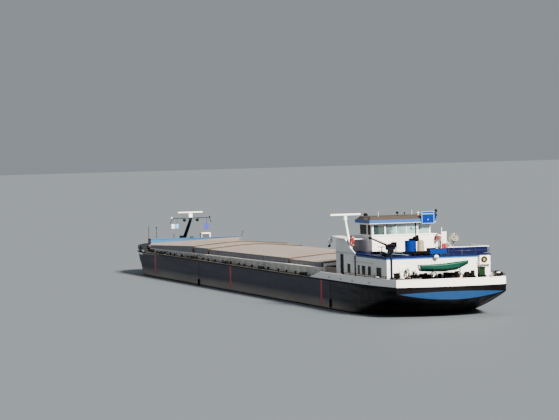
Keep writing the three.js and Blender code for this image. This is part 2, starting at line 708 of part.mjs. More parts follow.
// The dinghy lies athwart the aft deck on two posts; its stations run along y.
function dinghy() {
  const stations = [
    { y: -118, half: 36, keel: 471, rail: 506 },
    { y: -68, half: 58, keel: 449, rail: 500 },
    { y: 20, half: 68, keel: 440, rail: 491 },
    { y: 120, half: 66, keel: 441, rail: 488 },
    { y: 206, half: 50, keel: 447, rail: 489 },
  ];
  const ring = ({ y, half, keel, rail }, inset) => ({
    x: y,
    points: [
      [0, keel + inset], [half * 0.6 - inset, keel + 6 + inset],
      [half - inset, keel + 24], [half - inset, rail + inset],
      [inset - half, rail + inset], [inset - half, keel + 24],
      [inset - half * 0.6, keel + 6 + inset],
    ],
  });
  const turn = new THREE.Matrix4().makeRotationZ(Math.PI / 2);
  const place = new THREE.Matrix4().makeTranslation(-4105, 0, 0);
  const outer = loft(stations.map((station) => ring(station, 0)));
  const inner = loft(stations.map((station, i) => {
    const last = stations.length - 1;
    const shift = i === 0 ? 8 : i === last ? -8 : 0;
    return ring({ ...station, y: station.y + shift }, 4);
  }));
  const stem = loft([
    { x: -157, points: [[0, 489], [4, 493], [5, 500], [4, 513], [-4, 513], [-5, 500], [-4, 493]] },
    ring(stations[0], 0),
  ]);
  const thwart = block(30, 55, -66, 66, 474, 479);
  const moved = geometryOf(join(cut(outer, inner), stem, thwart)).applyMatrix4(place.multiply(turn));
  add('dinghy', solidOf(moved), paint.green);
}

function dinghyCradle() {
  const supports = [
    { y: 110, top: 440.2 },
    { y: -100, top: 460.5 },
  ];
  const posts = supports.map(({ y }) => block(-4112, -4098, y - 7, y + 7, deck, 426));
  const chocks = supports.map(({ y }) => block(-4150, -4060, y - 5, y + 5, 420, 430));
  const pads = supports.map(({ y, top }) => block(-4120, -4090, y - 5, y + 5, 426, top));
  const tie = block(-4112, -4098, supports[1].y, supports[0].y, 380, 390);
  add('dinghy_cradle', join(posts, chocks, pads, tie), paint.white);
}

// The blue signal board turns on an upright pin between two lugs of the wheelhouse roof.
const boardPin = { x: -3086, y: -249, foot: 782, head: 834 };

function boardLugs() {
  const { x, y, foot, head } = boardPin;
  const span = [y - 4.5, y + 4.5];
  return join(
    block(x - 5, -3070, ...span, foot - 8, foot - gap),
    block(x - 5, -3070, ...span, head + gap, head + 6),
    block(-3079, -3070, ...span, foot - 8, head + 6),
  );
}

function blueBoard() {
  const { x, y, foot, head } = boardPin;
  const pin = rod([x, y, foot], [x, y, head], 4, 8);
  const arm = block(x - 2, x + 2, y, y + 12, 799, 821);
  add('blue_board', join(pin, arm, block(x - 2, x + 2, y + 8, y + 106, 749, 841)), paint.deepBlue);
}

function roofFittings() {
  const floor = roofTop + gap;
  const railX = -3902;
  const railY = -386;
  const railTop = 603;
  const posts = [-76, -180, -284, -386].map((y) => rod([railX, y, floor], [railX, y, railTop], 2.5, 6));
  const sidePosts = [-3760, -3620, -3480].map((x) => rod([x, railY, floor], [x, railY, railTop], 2.5, 6));
  const bars = [575, railTop].flatMap((z) => [
    rod([railX, -74, z], [railX, railY, z], 2.5, 6),
    rod([railX, railY, z], [-3478, railY, z], 2.5, 6),
  ]);
  add('roof_rail', join(posts, sidePosts, bars), paint.white);
  const screenLegs = [40, -160, -340].map((y) => block(-3899, -3893, y - 3, y + 3, floor, 560));
  add('aft_screen', join(block(-3898, -3894, -376, 58, 557, 598), screenLegs), paint.deepBlue);
  add('air_conditioner', block(-3945, houseAft - gap, -379, -301, 478, 538), paint.white);
  const staff = rod([-3850, -40, floor], [-3872, -40, 747], 2.5, 6);
  const staffSocket = rod([-3850, -40, floor], [-3850, -40, floor + 10], 8, 8);
  add('flagstaff', join(staff, staffSocket), paint.white);
  const flag = [[-3855, 574], [-3851, 574], [-3866, 716], [-3870, 716]];
  add('stern_flag', prism(flag, 'y', -78, -42.8), paint.red);
  const dish = rod([-3655, -207, 658], [-3662, -207, 664], 34, 18, 27);
  const dishPole = join(
    rod([-3640, -202, floor], [-3640, -202, 660], 4, 8),
    rod([-3640, -202, 653], [-3658, -207, 660], 4, 8),
    rod([-3640, -202, floor], [-3640, -202, floor + 4], 12, 10),
  );
  add('satellite_dish', join(dish, dishPole), paint.white);
  const poleY = -14;
  const lampMast = join(
    rod([-3335, poleY, floor], [-3335, poleY, 765], 4, 8),
    rod([-3335, poleY, floor], [-3335, poleY, floor + 5], 13, 10),
    rod([-3335, poleY - 34, 722], [-3335, poleY + 34, 722], 2.5, 6),
    [34, -34].map((side) => rod([-3335, poleY + side, 718], [-3335, poleY + side, 736], 5, 8)),
    rod([-3335, poleY, 748], [-3335, poleY, 764], 6, 8),
  );
  add('lamp_mast', lampMast, paint.white);
  add('store_drum', rod([-3400, 48, floor], [-3400, 48, 640], 42, 20), paint.deepBlue);
  add('store_cask', rod([-3400, -30, floor], [-3400, -30, 634], 28, 20, 24), paint.beige);
}

function deckGear() {
  add('deck_bin', block(-4080, -4036, -293, -249, deck, 456), paint.green);
  const winch = join(
    block(-4150, -4110, 200, 280, deck, 352),
    block(-4140, -4120, 202, 210, 350, 392),
    block(-4140, -4120, 270, 278, 350, 392),
    rod([-4130, 208, 380], [-4130, 272, 380], 16, 14),
  );
  add('stern_winch', winch, paint.navy);
  const [axleX, axleZ] = [3690, 430];
  const roller = (y0, y1, radius, sides) => rod([axleX, y0, axleZ], [axleX, y1, axleZ], radius, sides);
  const windlass = join(
    block(axleX - 60, axleX + 60, -90, 90, deck, 352),
    block(axleX - 15, axleX + 15, -80, -70, 350, axleZ + 14),
    block(axleX - 15, axleX + 15, 70, 80, 350, axleZ + 14),
    roller(-110, 110, 9, 12),
    roller(-62, -26, 26, 16),
    roller(42, 66, 41, 18),
    [100, -100].map((y) => roller(y - 10, y + 10, 18, 14)),
  );
  add('anchor_windlass', windlass, paint.navy);
  add('foredeck_locker', block(3670, 3720, -222, -130, deck, 492), paint.white);
  const face = breadth(3574, depth) + gap;
  for (const side of [1, -1]) {
    const span = (low, high) => [side * (face + low), side * (face + high)].sort((a, b) => a - b);
    const shank = rod([3600, side * (face + 6), 400], [3600, side * (face + 6), 346], 4, 8);
    const stock = block(3590, 3610, ...span(0, 10), 390, 400);
    const crown = block(3574, 3626, ...span(0, 10), 330, 348);
    const fluke = (x) => prism([[x - 8, 332], [x + 8, 332], [x, 376]], 'y', ...span(1, 9));
    const flukes = [3578, 3622].map(fluke);
    add(side > 0 ? 'anchor_port' : 'anchor_starboard', join(shank, stock, crown, flukes), paint.black);
  }
  add('engine', block(-3230, -2990, -70, 70, 90 + gap, 235), paint.green);
}

hullBlocks();
bulwarks();
waveBreaker();
hatch();
aftTrunk();
deckhouse();
bridgeSurroundings();
wheelhouse();
propeller();
rudder('rudder_port', rudderY);
rudder('rudder_starboard', -rudderY);
foreMast();
aftRadar();
boatCrane();
dinghy();
dinghyCradle();
blueBoard();
roofFittings();
deckGear();

export default barge;
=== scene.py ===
# Looks of the 1:10 river barge model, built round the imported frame. Metres, +X to the bow, +Z up.
import json
import math
import random

import bpy
from mathutils import Matrix, Vector

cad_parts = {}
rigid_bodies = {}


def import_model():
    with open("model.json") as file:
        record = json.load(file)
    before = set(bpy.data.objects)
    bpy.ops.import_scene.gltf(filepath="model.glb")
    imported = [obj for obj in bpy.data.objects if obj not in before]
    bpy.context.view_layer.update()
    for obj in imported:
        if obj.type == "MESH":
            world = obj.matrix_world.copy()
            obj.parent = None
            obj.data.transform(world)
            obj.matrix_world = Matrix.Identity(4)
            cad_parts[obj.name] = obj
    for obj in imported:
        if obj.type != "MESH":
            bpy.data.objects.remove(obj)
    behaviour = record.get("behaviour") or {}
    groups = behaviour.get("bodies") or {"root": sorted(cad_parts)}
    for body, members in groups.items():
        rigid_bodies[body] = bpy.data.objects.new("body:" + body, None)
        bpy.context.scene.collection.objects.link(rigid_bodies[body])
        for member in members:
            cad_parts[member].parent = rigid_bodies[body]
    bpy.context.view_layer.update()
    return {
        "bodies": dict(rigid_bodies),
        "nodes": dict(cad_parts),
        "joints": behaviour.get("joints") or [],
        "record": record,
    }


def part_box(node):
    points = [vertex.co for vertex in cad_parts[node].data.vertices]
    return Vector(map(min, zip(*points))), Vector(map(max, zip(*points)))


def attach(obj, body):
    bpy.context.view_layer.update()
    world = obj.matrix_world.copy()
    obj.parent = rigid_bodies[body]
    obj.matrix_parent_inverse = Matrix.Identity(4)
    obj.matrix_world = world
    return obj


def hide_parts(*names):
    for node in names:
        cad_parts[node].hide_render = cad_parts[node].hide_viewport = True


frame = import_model()
random.seed(7)

# The camera stands on the river bank, off the port quarter, with a long lens.
view = {
    "place": (-26.315312, 7.319984, 1.583658),
    "heading": -0.2676195,  # from +X towards +Y
    "pitch": 0.0289803,  # downwards
    "roll": 0.0239757,
    "lens": 211.1987, "sensor": 36.0, "clip": (0.5, 400),
}
water = {"level": 0.12, "slope": 0.00046, "half": 60.0, "colour": "656f78", "roughness": 0.6}
sky = {"colour": "d3dbe4", "strength": 0.42}
sun = {"strength": 15.5, "colour": "fff3e4", "towards": (0.84, 0.2, -0.5), "softness": 0.2}


def linear(code):
    values = [int(code[i:i + 2], 16) / 255 for i in (0, 2, 4)]
    return [v / 12.92 if v <= 0.04045 else ((v + 0.055) / 1.055) ** 2.4 for v in values] + [1.0]


def deselectAll():
    bpy.ops.object.select_all(action="DESELECT")


def addToScene(name, data):
    thing = bpy.data.objects.new(name, data)
    bpy.context.scene.collection.objects.link(thing)
    return thing


def makeCamera():
    data = bpy.data.cameras.new("photoCamera")
    camera = addToScene("photoCamera", data)
    data.lens, data.sensor_width = view["lens"], view["sensor"]
    data.clip_start, data.clip_end = view["clip"]
    pitch, heading, roll = view["pitch"], view["heading"], view["roll"]
    level = math.cos(pitch)
    ahead = Vector((level * math.cos(heading), level * math.sin(heading), -math.sin(pitch)))
    right = Vector((math.sin(heading), -math.cos(heading), 0))
    up = right.cross(ahead)
    rolledRight = right * math.cos(roll) - up * math.sin(roll)
    rolledUp = right * math.sin(roll) + up * math.cos(roll)
    axes = (rolledRight, rolledUp, -ahead)
    camera.matrix_world = Matrix([(*axis, 0) for axis in axes] + [(0, 0, 0, 1)]).transposed()
    camera.matrix_world.translation = Vector(view["place"])
    bpy.context.scene.camera = camera


def makeLight():
    world = bpy.data.worlds.new("paleSky")
    world.use_nodes = True
    background = world.node_tree.nodes["Background"]
    background.inputs["Color"].default_value = linear(sky["colour"])
    background.inputs["Strength"].default_value = sky["strength"]
    bpy.context.scene.world = world
    data = bpy.data.lights.new("keyLight", "SUN")
    data.energy, data.angle = sun["strength"], sun["softness"]
    data.color = linear(sun["colour"])[:3]
    addToScene("keyLight", data).rotation_euler = Vector(sun["towards"]).to_track_quat("-Z", "Y").to_euler()


def makeFloor():
    deselectAll()
    bpy.ops.mesh.primitive_plane_add(size=2 * water["half"], location=(0, 0, water["level"]))
    floor = bpy.context.active_object
    floor.name = "waterFloor"
    floor.rotation_euler = (0, -math.atan(water["slope"]), 0)
    material = bpy.data.materials.new("paleFloor")
    material.use_nodes = True
    shader = material.node_tree.nodes["Principled BSDF"]
    shader.inputs["Base Color"].default_value = linear(water["colour"])
    shader.inputs["Roughness"].default_value = water["roughness"]
    floor.data.materials.append(material)


makeCamera()
makeLight()
makeFloor()
print("camera, light and floor are in place")

# Shader nodes go into the tree that is being built.
building = {}


def connect(socket, value):
    if isinstance(value, str):
        value = linear(value)
    if isinstance(value, (int, float, list, tuple)):
        socket.default_value = value
    else:
        building["tree"].links.new(value, socket)


def newNode(kind, values=None):
    node = building["tree"].nodes.new("ShaderNode" + kind)
    for label, value in (values or {}).items():
        connect(node.inputs[label], value)
    return node


def maths(operation, *values):
    node = newNode("Math")
    node.operation = operation
    for socket, value in zip(node.inputs, values):
        connect(socket, value)
    return node.outputs[0]


def times(*factors):
    product = factors[0]
    for factor in factors[1:]:
        product = maths("MULTIPLY", product, factor)
    return product


def plus(a, b):
    return maths("ADD", a, b)


def minus(a, b):
    return maths("SUBTRACT", a, b)


def ramp(value, low, high, start=0.0, end=1.0):
    ends = {"Value": value, "From Min": low, "From Max": high, "To Min": start, "To Max": end}
    return newNode("MapRange", ends).outputs["Result"]


def between(value, low, high, soft):
    return times(ramp(value, low - soft, low + soft), ramp(value, high - soft, high + soft, 1.0, 0.0))


def mix(share, first, second):
    node = newNode("Mix")
    node.data_type = "RGBA"
    for label, kind, value in (("Factor", "VALUE", share), ("A", "RGBA", first), ("B", "RGBA", second)):
        connect(next(s for s in node.inputs if s.name == label and s.type == kind), value)
    return next(s for s in node.outputs if s.type == "RGBA")


def coords(scale=(1, 1, 1), offset=(0, 0, 0)):
    source = newNode("TexCoord").outputs["Object"]
    return newNode("Mapping", {"Scale": scale, "Location": offset, "Vector": source}).outputs["Vector"]


def position():
    return newNode("SeparateXYZ", {0: coords()}).outputs


def normal():
    return newNode("SeparateXYZ", {0: newNode("NewGeometry").outputs["Normal"]}).outputs


def noise(vector, scale, detail=4.0, rough=0.6):
    values = {"Vector": vector, "Scale": scale, "Detail": detail, "Roughness": rough}
    return newNode("TexNoise", values).outputs[0]


# Shader node groups: each gives one mask or height.
def newGroup(name, output, texture, **inputs):
    tree = building["tree"] = bpy.data.node_groups.new(name, "ShaderNodeTree")
    for label, value in inputs.items():
        socket = tree.interface.new_socket(name=label, in_out="INPUT", socket_type="NodeSocketFloat")
        socket.default_value = value
    tree.interface.new_socket(name=output, in_out="OUTPUT", socket_type="NodeSocketFloat")
    given = tree.nodes.new("NodeGroupInput").outputs
    result = tree.nodes.new("NodeGroupOutput").inputs[output]
    connect(result, texture(*(given[label] for label in inputs)))
    return tree


def streakMask(scale, amount):
    fine = noise(coords((1, 1, 0.07)), scale, 5.0, 0.65)
    broad = noise(coords((1, 1, 0.6), (3, 1, 2)), 2.2, 3.0)
    edge = minus(0.78, times(amount, 0.4))
    return ramp(plus(times(fine, 0.65), times(broad, 0.35)), edge, plus(edge, 0.16))


def scuffMask(scale, amount):
    edge = minus(0.76, times(amount, 0.4))
    return ramp(noise(coords((0.09, 1, 1.3)), scale, 6.0, 0.7), edge, plus(edge, 0.14))


def dustMask(scale, amount):
    edge = minus(0.72, times(amount, 0.45))
    return ramp(noise(coords(), scale, 6.0, 0.62), edge, plus(edge, 0.3))


def grainHeight(scale):
    return plus(times(noise(coords(), scale, 3.0, 0.5), 0.3), noise(coords((1, 1, 1), (5, 2, 1)), 6.0, 2.0))


def ribHeight(pitch):
    turns = maths("DIVIDE", position()["X"], pitch)
    return ramp(maths("SINE", times(turns, 2 * math.pi)), 0.2, 0.75)


def weaveHeight(pitch):
    spot, rate = position(), maths("DIVIDE", 2 * math.pi, pitch)
    return times(maths("SINE", times(spot["Y"], rate)), maths("SINE", times(spot["Z"], rate)))


groups = {
    "streaks": newGroup("rainStreaks", "Mask", streakMask, Scale=12.0, Amount=0.5),
    "scuffs": newGroup("rubbingScuffs", "Mask", scuffMask, Scale=9.0, Amount=0.5),
    "dust": newGroup("settledDust", "Mask", dustMask, Scale=3.0, Amount=0.5),
    "grain": newGroup("paintGrain", "Height", grainHeight, Scale=90.0),
    "ribs": newGroup("sheetRibs", "Height", ribHeight, Pitch=0.03),
    "weave": newGroup("buntingWeave", "Height", weaveHeight, Pitch=0.0012),
}


def useGroup(name, *values):
    node = newNode("Group")
    node.node_tree = groups[name]
    for socket, value in zip(node.inputs, values):
        socket.default_value = value
    return node.outputs[0]


# Paints and other finishes, one row each
finishes = {
    # name: base, stain, dust colours, roughness, metallic, streaks, dust, grain scale, bump
    "whitePaint": ("f2f2f0", "b39c80", "d2d0c9", 0.42, 0.0, 0.3, 0.3, 90, 0.02),
    "cabinShade": ("ecedec", "a79a88", "c6c4be", 0.5, 0.0, 0.42, 0.4, 90, 0.02),
    "coamingPaint": ("f4f3ee", "9a8f80", "d2d0ca", 0.75, 0.0, 0.5, 0.4, 70, 0.05),
    "lightBluePaint": ("185090", "143c64", "2c6094", 0.45, 0.0, 0.35, 0.3, 90, 0.02),
    "boardBlue": ("012274", "031c4c", "052a70", 0.4, 0.0, 0.3, 0.2, 90, 0.01),
    "roofNavy": ("061040", "070c22", "0e183c", 0.55, 0.0, 0.4, 0.4, 80, 0.03),
    "mastGrey": ("141d29", "1a1c20", "222c38", 0.5, 0.1, 0.35, 0.35, 90, 0.03),
    "navyPaint": ("03060d", "0a0908", "0c1016", 0.5, 0.1, 0.35, 0.35, 90, 0.03),
    "doorNavy": ("0a1434", "0c1220", "1c2844", 0.45, 0.0, 0.3, 0.3, 90, 0.02),
    "ironBlack": ("0e0e10", "2c2018", "202024", 0.6, 0.2, 0.45, 0.4, 120, 0.06),
    "bronze": ("9a7a45", "4f6a56", "7d6a4a", 0.38, 0.85, 0.4, 0.4, 90, 0.03),
    "dinghyGreen": ("07342c", "08241e", "123c34", 0.5, 0.0, 0.35, 0.35, 60, 0.03),
    "dinghyRim": ("1f6450", "184838", "407c6a", 0.5, 0.0, 0.3, 0.4, 90, 0.02),
    "plasticBlue": ("07246c", "061840", "163474", 0.45, 0.0, 0.2, 0.35, 120, 0.02),
    "plasticBeige": ("8f8870", "5c523f", "786f5c", 0.5, 0.0, 0.3, 0.4, 120, 0.02),
    "binGreen": ("102614", "0c1a0e", "203424", 0.5, 0.0, 0.3, 0.4, 120, 0.02),
    "engineGreen": ("4a6355", "33302a", "6d7268", 0.55, 0.2, 0.4, 0.4, 90, 0.04),
    "radarWhite": ("f4f4f2", "cfccc4", "dedcd6", 0.35, 0.0, 0.15, 0.2, 120, 0.01),
    "lifeRed": ("86201c", "5a1612", "985048", 0.55, 0.0, 0.2, 0.3, 120, 0.03),
    "galvanised": ("a9adb0", "7c7f80", "c0c3c4", 0.4, 0.7, 0.3, 0.4, 150, 0.02),
    "rubberBlack": ("1b1b1c", "2a2826", "3f3d3a", 0.85, 0.0, 0.2, 0.4, 150, 0.04),
    "roofDust": ("a2978f", "685d54", "aca298", 0.8, 0.0, 0.4, 0.7, 40, 0.04),
    "trimTan": ("b08a5a", "6a5034", "a08a6c", 0.6, 0.0, 0.4, 0.4, 90, 0.03),
    "timber": ("8a6a48", "5b452f", "a58a68", 0.7, 0.0, 0.4, 0.4, 120, 0.05),
    "blindBrown": ("1e1713", "16100c", "2c2520", 0.7, 0.0, 0.3, 0.3, 160, 0.03),
    "leafGreen": ("1a3018", "10200e", "304a28", 0.6, 0.0, 0.3, 0.3, 60, 0.04),
    "potClay": ("3c1e16", "28140e", "50382c", 0.8, 0.0, 0.3, 0.4, 120, 0.03),
    "seatWhite": ("6c8cac", "50606c", "8494a4", 0.5, 0.0, 0.2, 0.3, 120, 0.02),
    "fanBrown": ("2e2414", "1c160c", "3f3424", 0.6, 0.0, 0.3, 0.3, 120, 0.03),
    "dishGrey": ("7c7e70", "5a5b50", "8a8b80", 0.6, 0.0, 0.3, 0.4, 120, 0.02),
    "skyTrim": ("5c96cc", "3a6a98", "7ca4c8", 0.5, 0.0, 0.2, 0.2, 120, 0.01),
    "bagBlack": ("070708", "14100c", "121214", 0.8, 0.0, 0.3, 0.3, 120, 0.06),
}
# Specular levels, and the sum of a base colour below which it counts as dark
shine = {"plain": 0.25, "dark": 0.06, "glass": 0.05, "darkBelow": 0.2}


def startMaterial(name, roughness, metallic=0.0):
    material = bpy.data.materials.new(name)
    material.use_nodes = True
    building["tree"] = material.node_tree
    inputs = material.node_tree.nodes["Principled BSDF"].inputs
    inputs["Roughness"].default_value = roughness
    inputs["Metallic"].default_value = metallic
    inputs["Specular IOR Level"].default_value = shine["plain"]
    return material, inputs


def addBump(inputs, height, strength, distance=0.002):
    values = {"Strength": min(1.0, strength * 20), "Distance": distance, "Height": height}
    connect(inputs["Normal"], newNode("Bump", values).outputs["Normal"])


def weather(colour, stain, dust, streaks, dustAmount):
    runs = times(useGroup("streaks", 14.0, streaks), 0.6)
    settled = times(useGroup("dust", 3.5, dustAmount), 0.55)
    return mix(settled, mix(runs, colour, stain), dust)


def weatheredPaint(name, scheme=None):
    base, stain, dust, roughness, metallic, streaks, dustAmount, grain, bump = finishes[name]
    material, inputs = startMaterial(scheme.__name__ if scheme else name, roughness, metallic)
    if sum(linear(base)[:3]) < shine["darkBelow"]:
        inputs["Specular IOR Level"].default_value = shine["dark"]
    colour = scheme(base) if scheme else base
    connect(inputs["Base Color"], weather(colour, stain, dust, streaks, dustAmount))
    cloud = useGroup("dust", 5.0, dustAmount)
    connect(inputs["Roughness"], ramp(cloud, 0, 1, roughness, min(1.0, roughness + 0.2)))
    addBump(inputs, useGroup("grain", float(grain)), bump)
    return material


hullPaint = {
    # The near-black that takes over towards the stern is painted shade on the aft quarters, which the hull's
    # flare shades, and the transom's own darker black.
    "black": "383a43", "rubbed": "585962", "shadeAndTransomBlack": "060508", "grime": "665c52", "weed": "a1978d",
    # A near-black band just above the waterline: the hull is simply darker there.
    "waterlineDark": "141416", "gunwale": "a9a59c", "strake": "f0f0ee", "fitting": "1b1b1f", "waterBand": 0.085,
    "deck": "6d6761", "deckStain": "4c4138", "foreDeck": "2b2a2a",
    "stripes": (3.0, 0.25, -2.49), "stripeHalf": 0.024, "stripeRed": "c4505a",
    "lensBlue": "133259", "lensTop": 0.3065, "lensDroop": 0.092, "lensLow": 0.248, "lensRise": 0.29,
}


def lensMask(x, y, z):
    square = times(y, y)
    top = minus(hullPaint["lensTop"], times(square, hullPaint["lensDroop"]))
    foot = plus(hullPaint["lensLow"], times(square, hullPaint["lensRise"]))
    inside = times(ramp(minus(top, z), -0.0005, 0.0005), ramp(minus(z, foot), -0.0005, 0.0005))
    return times(inside, times(ramp(normal()["X"], -0.55, -0.65), ramp(x, -4.15, -4.2)))


def stripeMask(x, above, spot):
    half, level = hullPaint["stripeHalf"], water["level"]
    return times(between(x, spot - half, spot + half, 0.002), ramp(above, level + 0.026, level + 0.030), 0.85)


def deckColour(x):
    deck = mix(useGroup("dust", 6.0, 0.6), hullPaint["deck"], hullPaint["deckStain"])
    return mix(ramp(x, 3.40, 3.42), deck, hullPaint["foreDeck"])


def hullMaterial():
    material, inputs = startMaterial("hullPaint", 0.5)
    x, y, z = position()
    scuffs = useGroup("scuffs", 11.0, 0.75)
    above = minus(z, times(x, water["slope"]))
    uneven = times(useGroup("dust", 1.2, 0.5), 0.008)
    edge = minus(plus(uneven, water["level"] + hullPaint["waterBand"]), above)
    sheer = minus(z, ramp(x, 2.0, 3.35, 0.3385, 0.3215))
    layers = [
        ("rubbed", times(scuffs, 0.75)),
        # Darker towards the stern: painted shade on the aft quarters, together with the transom's own darker
        # black.
        ("shadeAndTransomBlack", ramp(x, -2.5, -3.5)),
        ("grime", times(useGroup("streaks", 16.0, 0.5), ramp(x, -3.5, -2.5, 0.04, 0.4))),
        ("weed", times(ramp(edge, 0.0, 0.07), ramp(x, -3.5, -2.7, 0.1, 0.95))),
        # Darker just above the waterline.
        ("waterlineDark", ramp(above, water["level"] + 0.012, water["level"] + 0.008)),
        *(("stripeRed", stripeMask(x, above, spot)) for spot in hullPaint["stripes"]),
        ("lensBlue", lensMask(x, y, z)),
        ("gunwale", times(ramp(x, 2.0, 2.2), ramp(sheer, -0.0008, 0.0008))),
        ("strake", times(ramp(x, 3.5, 3.6), ramp(z, 0.307, 0.309))),
        ("gunwale", times(between(z, 0.333, 0.3405, 0.0008), ramp(x, -2.5, -2.45))),
    ]
    colour = hullPaint["black"]
    for name, mask in layers:
        colour = mix(mask, colour, hullPaint[name])
    colour = mix(times(ramp(normal()["Z"], 0.6, 0.8), ramp(z, 0.33, 0.3405)), colour, deckColour(x))
    connect(inputs["Base Color"], mix(ramp(z, 0.3425, 0.3435), colour, hullPaint["fitting"]))
    connect(inputs["Roughness"], ramp(scuffs, 0, 1, 0.42, 0.7))
    inputs["Specular IOR Level"].default_value = shine["dark"]
    addBump(inputs, useGroup("grain", 60.0), 0.04, 0.003)
    return material


coverPaint = {"sheet": ("a2978f", "786d64", "a89e96"), "side": ("6b6b72", "45403b", "85807a"), "pitch": 0.028}


def coverMaterial():
    material, inputs = startMaterial("hatchSheet", 0.55, 0.2)
    roof = weather(*coverPaint["sheet"], 0.3, 0.6)
    skirt = weather(*coverPaint["side"], 0.6, 0.4)
    connect(inputs["Base Color"], mix(ramp(normal()["Z"], 0.02, 0.06), skirt, roof))
    connect(inputs["Roughness"], ramp(useGroup("dust", 4.0, 0.5), 0, 1, 0.45, 0.8))
    addBump(inputs, useGroup("ribs", coverPaint["pitch"]), 0.04, 0.0015)
    return material


# Paint schemes that change over one piece
def bowBulwarkPaint(base):
    colour = mix(ramp(position()["Z"], 0.352, 0.356), base, "1e2126")
    # Faces turned aft, the bulwark's inner side, are painted dark grey: painted shade.
    return mix(ramp(normal()["X"], -0.2, -0.3), colour, "24282c")


def waveBreakerPaint(base):
    x, y, z = position()
    # Blue fading to dark grey towards starboard: painted shade on the starboard part of the breaker.
    sheet = mix(ramp(y, 0.2, -0.35), "185a84", "2c353c")
    foot = minus(ramp(y, -0.43, 0.43, 0.452, 0.420), z)
    sheet = mix(ramp(foot, -0.001, 0.001), sheet, "6e665f")
    return mix(ramp(z, 0.4565, 0.457), sheet, "1a1b1e")


def bridgeRoofPaint(base):
    return mix(ramp(position()["Z"], 0.7865, 0.787), base, "463e37")


def deckhouseRoofPaint(base):
    return mix(times(ramp(position()["X"], -3.132, -3.130), ramp(normal()["Y"], 0.5, 0.6)), base, "e4e5e4")


def trimPaint(base):
    # Faces that are not turned up are painted dark brown: a painted shadow line along each trim.
    return mix(ramp(normal()["Z"], 0.6, 0.4), base, "3c3028")


def screenPaint(base):
    return mix(ramp(position()["Y"], -0.066, -0.068), base, "060b34")


def railPaint(base):
    return mix(ramp(position()["Z"], 0.601, 0.600), base, "1a2340")


def lockerPaint(base):
    x, y, z = position()
    panel = times(between(y, -0.212, -0.140, 0.0005), between(z, 0.36, 0.482, 0.0005))
    return mix(times(panel, ramp(normal()["X"], -0.5, -0.6)), base, "3c4248")


def flagMaterial(name, bands, low, high):
    material, inputs = startMaterial(name, 0.85)
    inputs["Sheen Weight"].default_value = 0.3
    height, colour = position()["Z"], bands[0]
    for i, band in enumerate(bands[1:], 1):
        at = low + (high - low) * i / len(bands)
        colour = mix(ramp(height, at - 0.0005, at + 0.0005), colour, band)
    faded = times(useGroup("dust", 18.0, 0.4), 0.3)
    connect(inputs["Base Color"], mix(faded, colour, "9a9a98"))
    addBump(inputs, useGroup("weave", 0.0012), 0.03, 0.0004)
    return material


def glassMaterial(name, tint, smear, roughness, coat, specular, portTint=None):
    material, inputs = startMaterial(name, roughness)
    cloud = useGroup("dust", 9.0, 0.5)
    colour = mix(times(cloud, 0.35), tint, smear)
    if portTint:
        shapes = ramp(useGroup("dust", 4.0, 0.9), 0.25, 0.55)
        colour = mix(times(ramp(position()["Y"], -0.05, 0.12), shapes), colour, portTint)
    connect(inputs["Base Color"], colour)
    connect(inputs["Roughness"], ramp(cloud, 0, 1, roughness, roughness + 0.15))
    inputs["Coat Weight"].default_value = coat
    inputs["Specular IOR Level"].default_value = specular
    return material


paints = {name: weatheredPaint(name) for name in finishes}
paints["hull"] = hullMaterial()
paints["cover"] = coverMaterial()
for base, scheme in (
    ("whitePaint", bowBulwarkPaint), ("whitePaint", lockerPaint), ("whitePaint", railPaint),
    ("lightBluePaint", waveBreakerPaint), ("lightBluePaint", bridgeRoofPaint), ("boardBlue", screenPaint),
    ("roofNavy", deckhouseRoofPaint), ("trimTan", trimPaint),
):
    paints[scheme.__name__] = weatheredPaint(base, scheme)
for name, *facts in (
    # name, tint, smears, roughness, coat, specular level, tint to port
    # The end glass's pale blue-green tint is a painted reflection of the sky.
    ("sternGlass", "7fa9aa", "a9c2c0", 0.06, 0.2, shine["plain"], "1f3436"),
    ("sideGlass", "191715", "2c2b2a", 0.3, 0.0, shine["glass"]),
    ("lampLens", "dfe6ea", "b9c0c4", 0.06, 0.2, shine["plain"]),
):
    paints[name] = glassMaterial(name, *facts)
print("materials are ready:", len(paints))

nodePaint = {
    "hull": "hull_stern_block hull_hold_block hull_bow_block",
    "whitePaint": (
        "stern_bulwark bridge_front_house wing_canopy companion_locker wheelhouse_walls "
        "wheelhouse_door aft_radar_mast dinghy_cradle air_conditioner flagstaff"
    ),
    "bowBulwarkPaint": "bow_bulwark",
    "waveBreakerPaint": "wave_breaker",
    "coamingPaint": "hatch_coaming",
    "cover": "hatch_cover_fore hatch_cover_short hatch_cover_long hatch_cover_aft",
    "roofDust": "aft_trunk",
    "cabinShade": "deckhouse_walls port_screen starboard_screen",
    "deckhouseRoofPaint": "deckhouse_roof",
    "doorNavy": "port_door starboard_door",
    "bridgeRoofPaint": "wheelhouse_roof",
    "navyPaint": (
        "helm_console rudder_port rudder_starboard crane_boom stern_winch anchor_windlass "
        "lamp_mast"
    ),
    "rubberBlack": "helm_chair",
    "bronze": "propeller",
    "mastGrey": "bow_mast crane_post",
    "radarWhite": "bow_scanner aft_scanner",
    "dinghyGreen": "dinghy",
    "boardBlue": "blue_board",
    "railPaint": "roof_rail",
    "screenPaint": "aft_screen",
    "plasticBlue": "store_drum",
    "plasticBeige": "store_cask",
    "binGreen": "deck_bin",
    "ironBlack": "anchor_port anchor_starboard",
    "engineGreen": "engine",
    "lockerPaint": "foredeck_locker",
    "dishGrey": "satellite_dish",
}
for paint, nodes in nodePaint.items():
    for node in nodes.split():
        mesh = frame["nodes"][node].data
        mesh.materials.clear()
        mesh.materials.append(paints[paint])
print("frame pieces are painted")


# Modelling helpers
def choose(piece):
    deselectAll()
    piece.select_set(True)
    bpy.context.view_layer.objects.active = piece


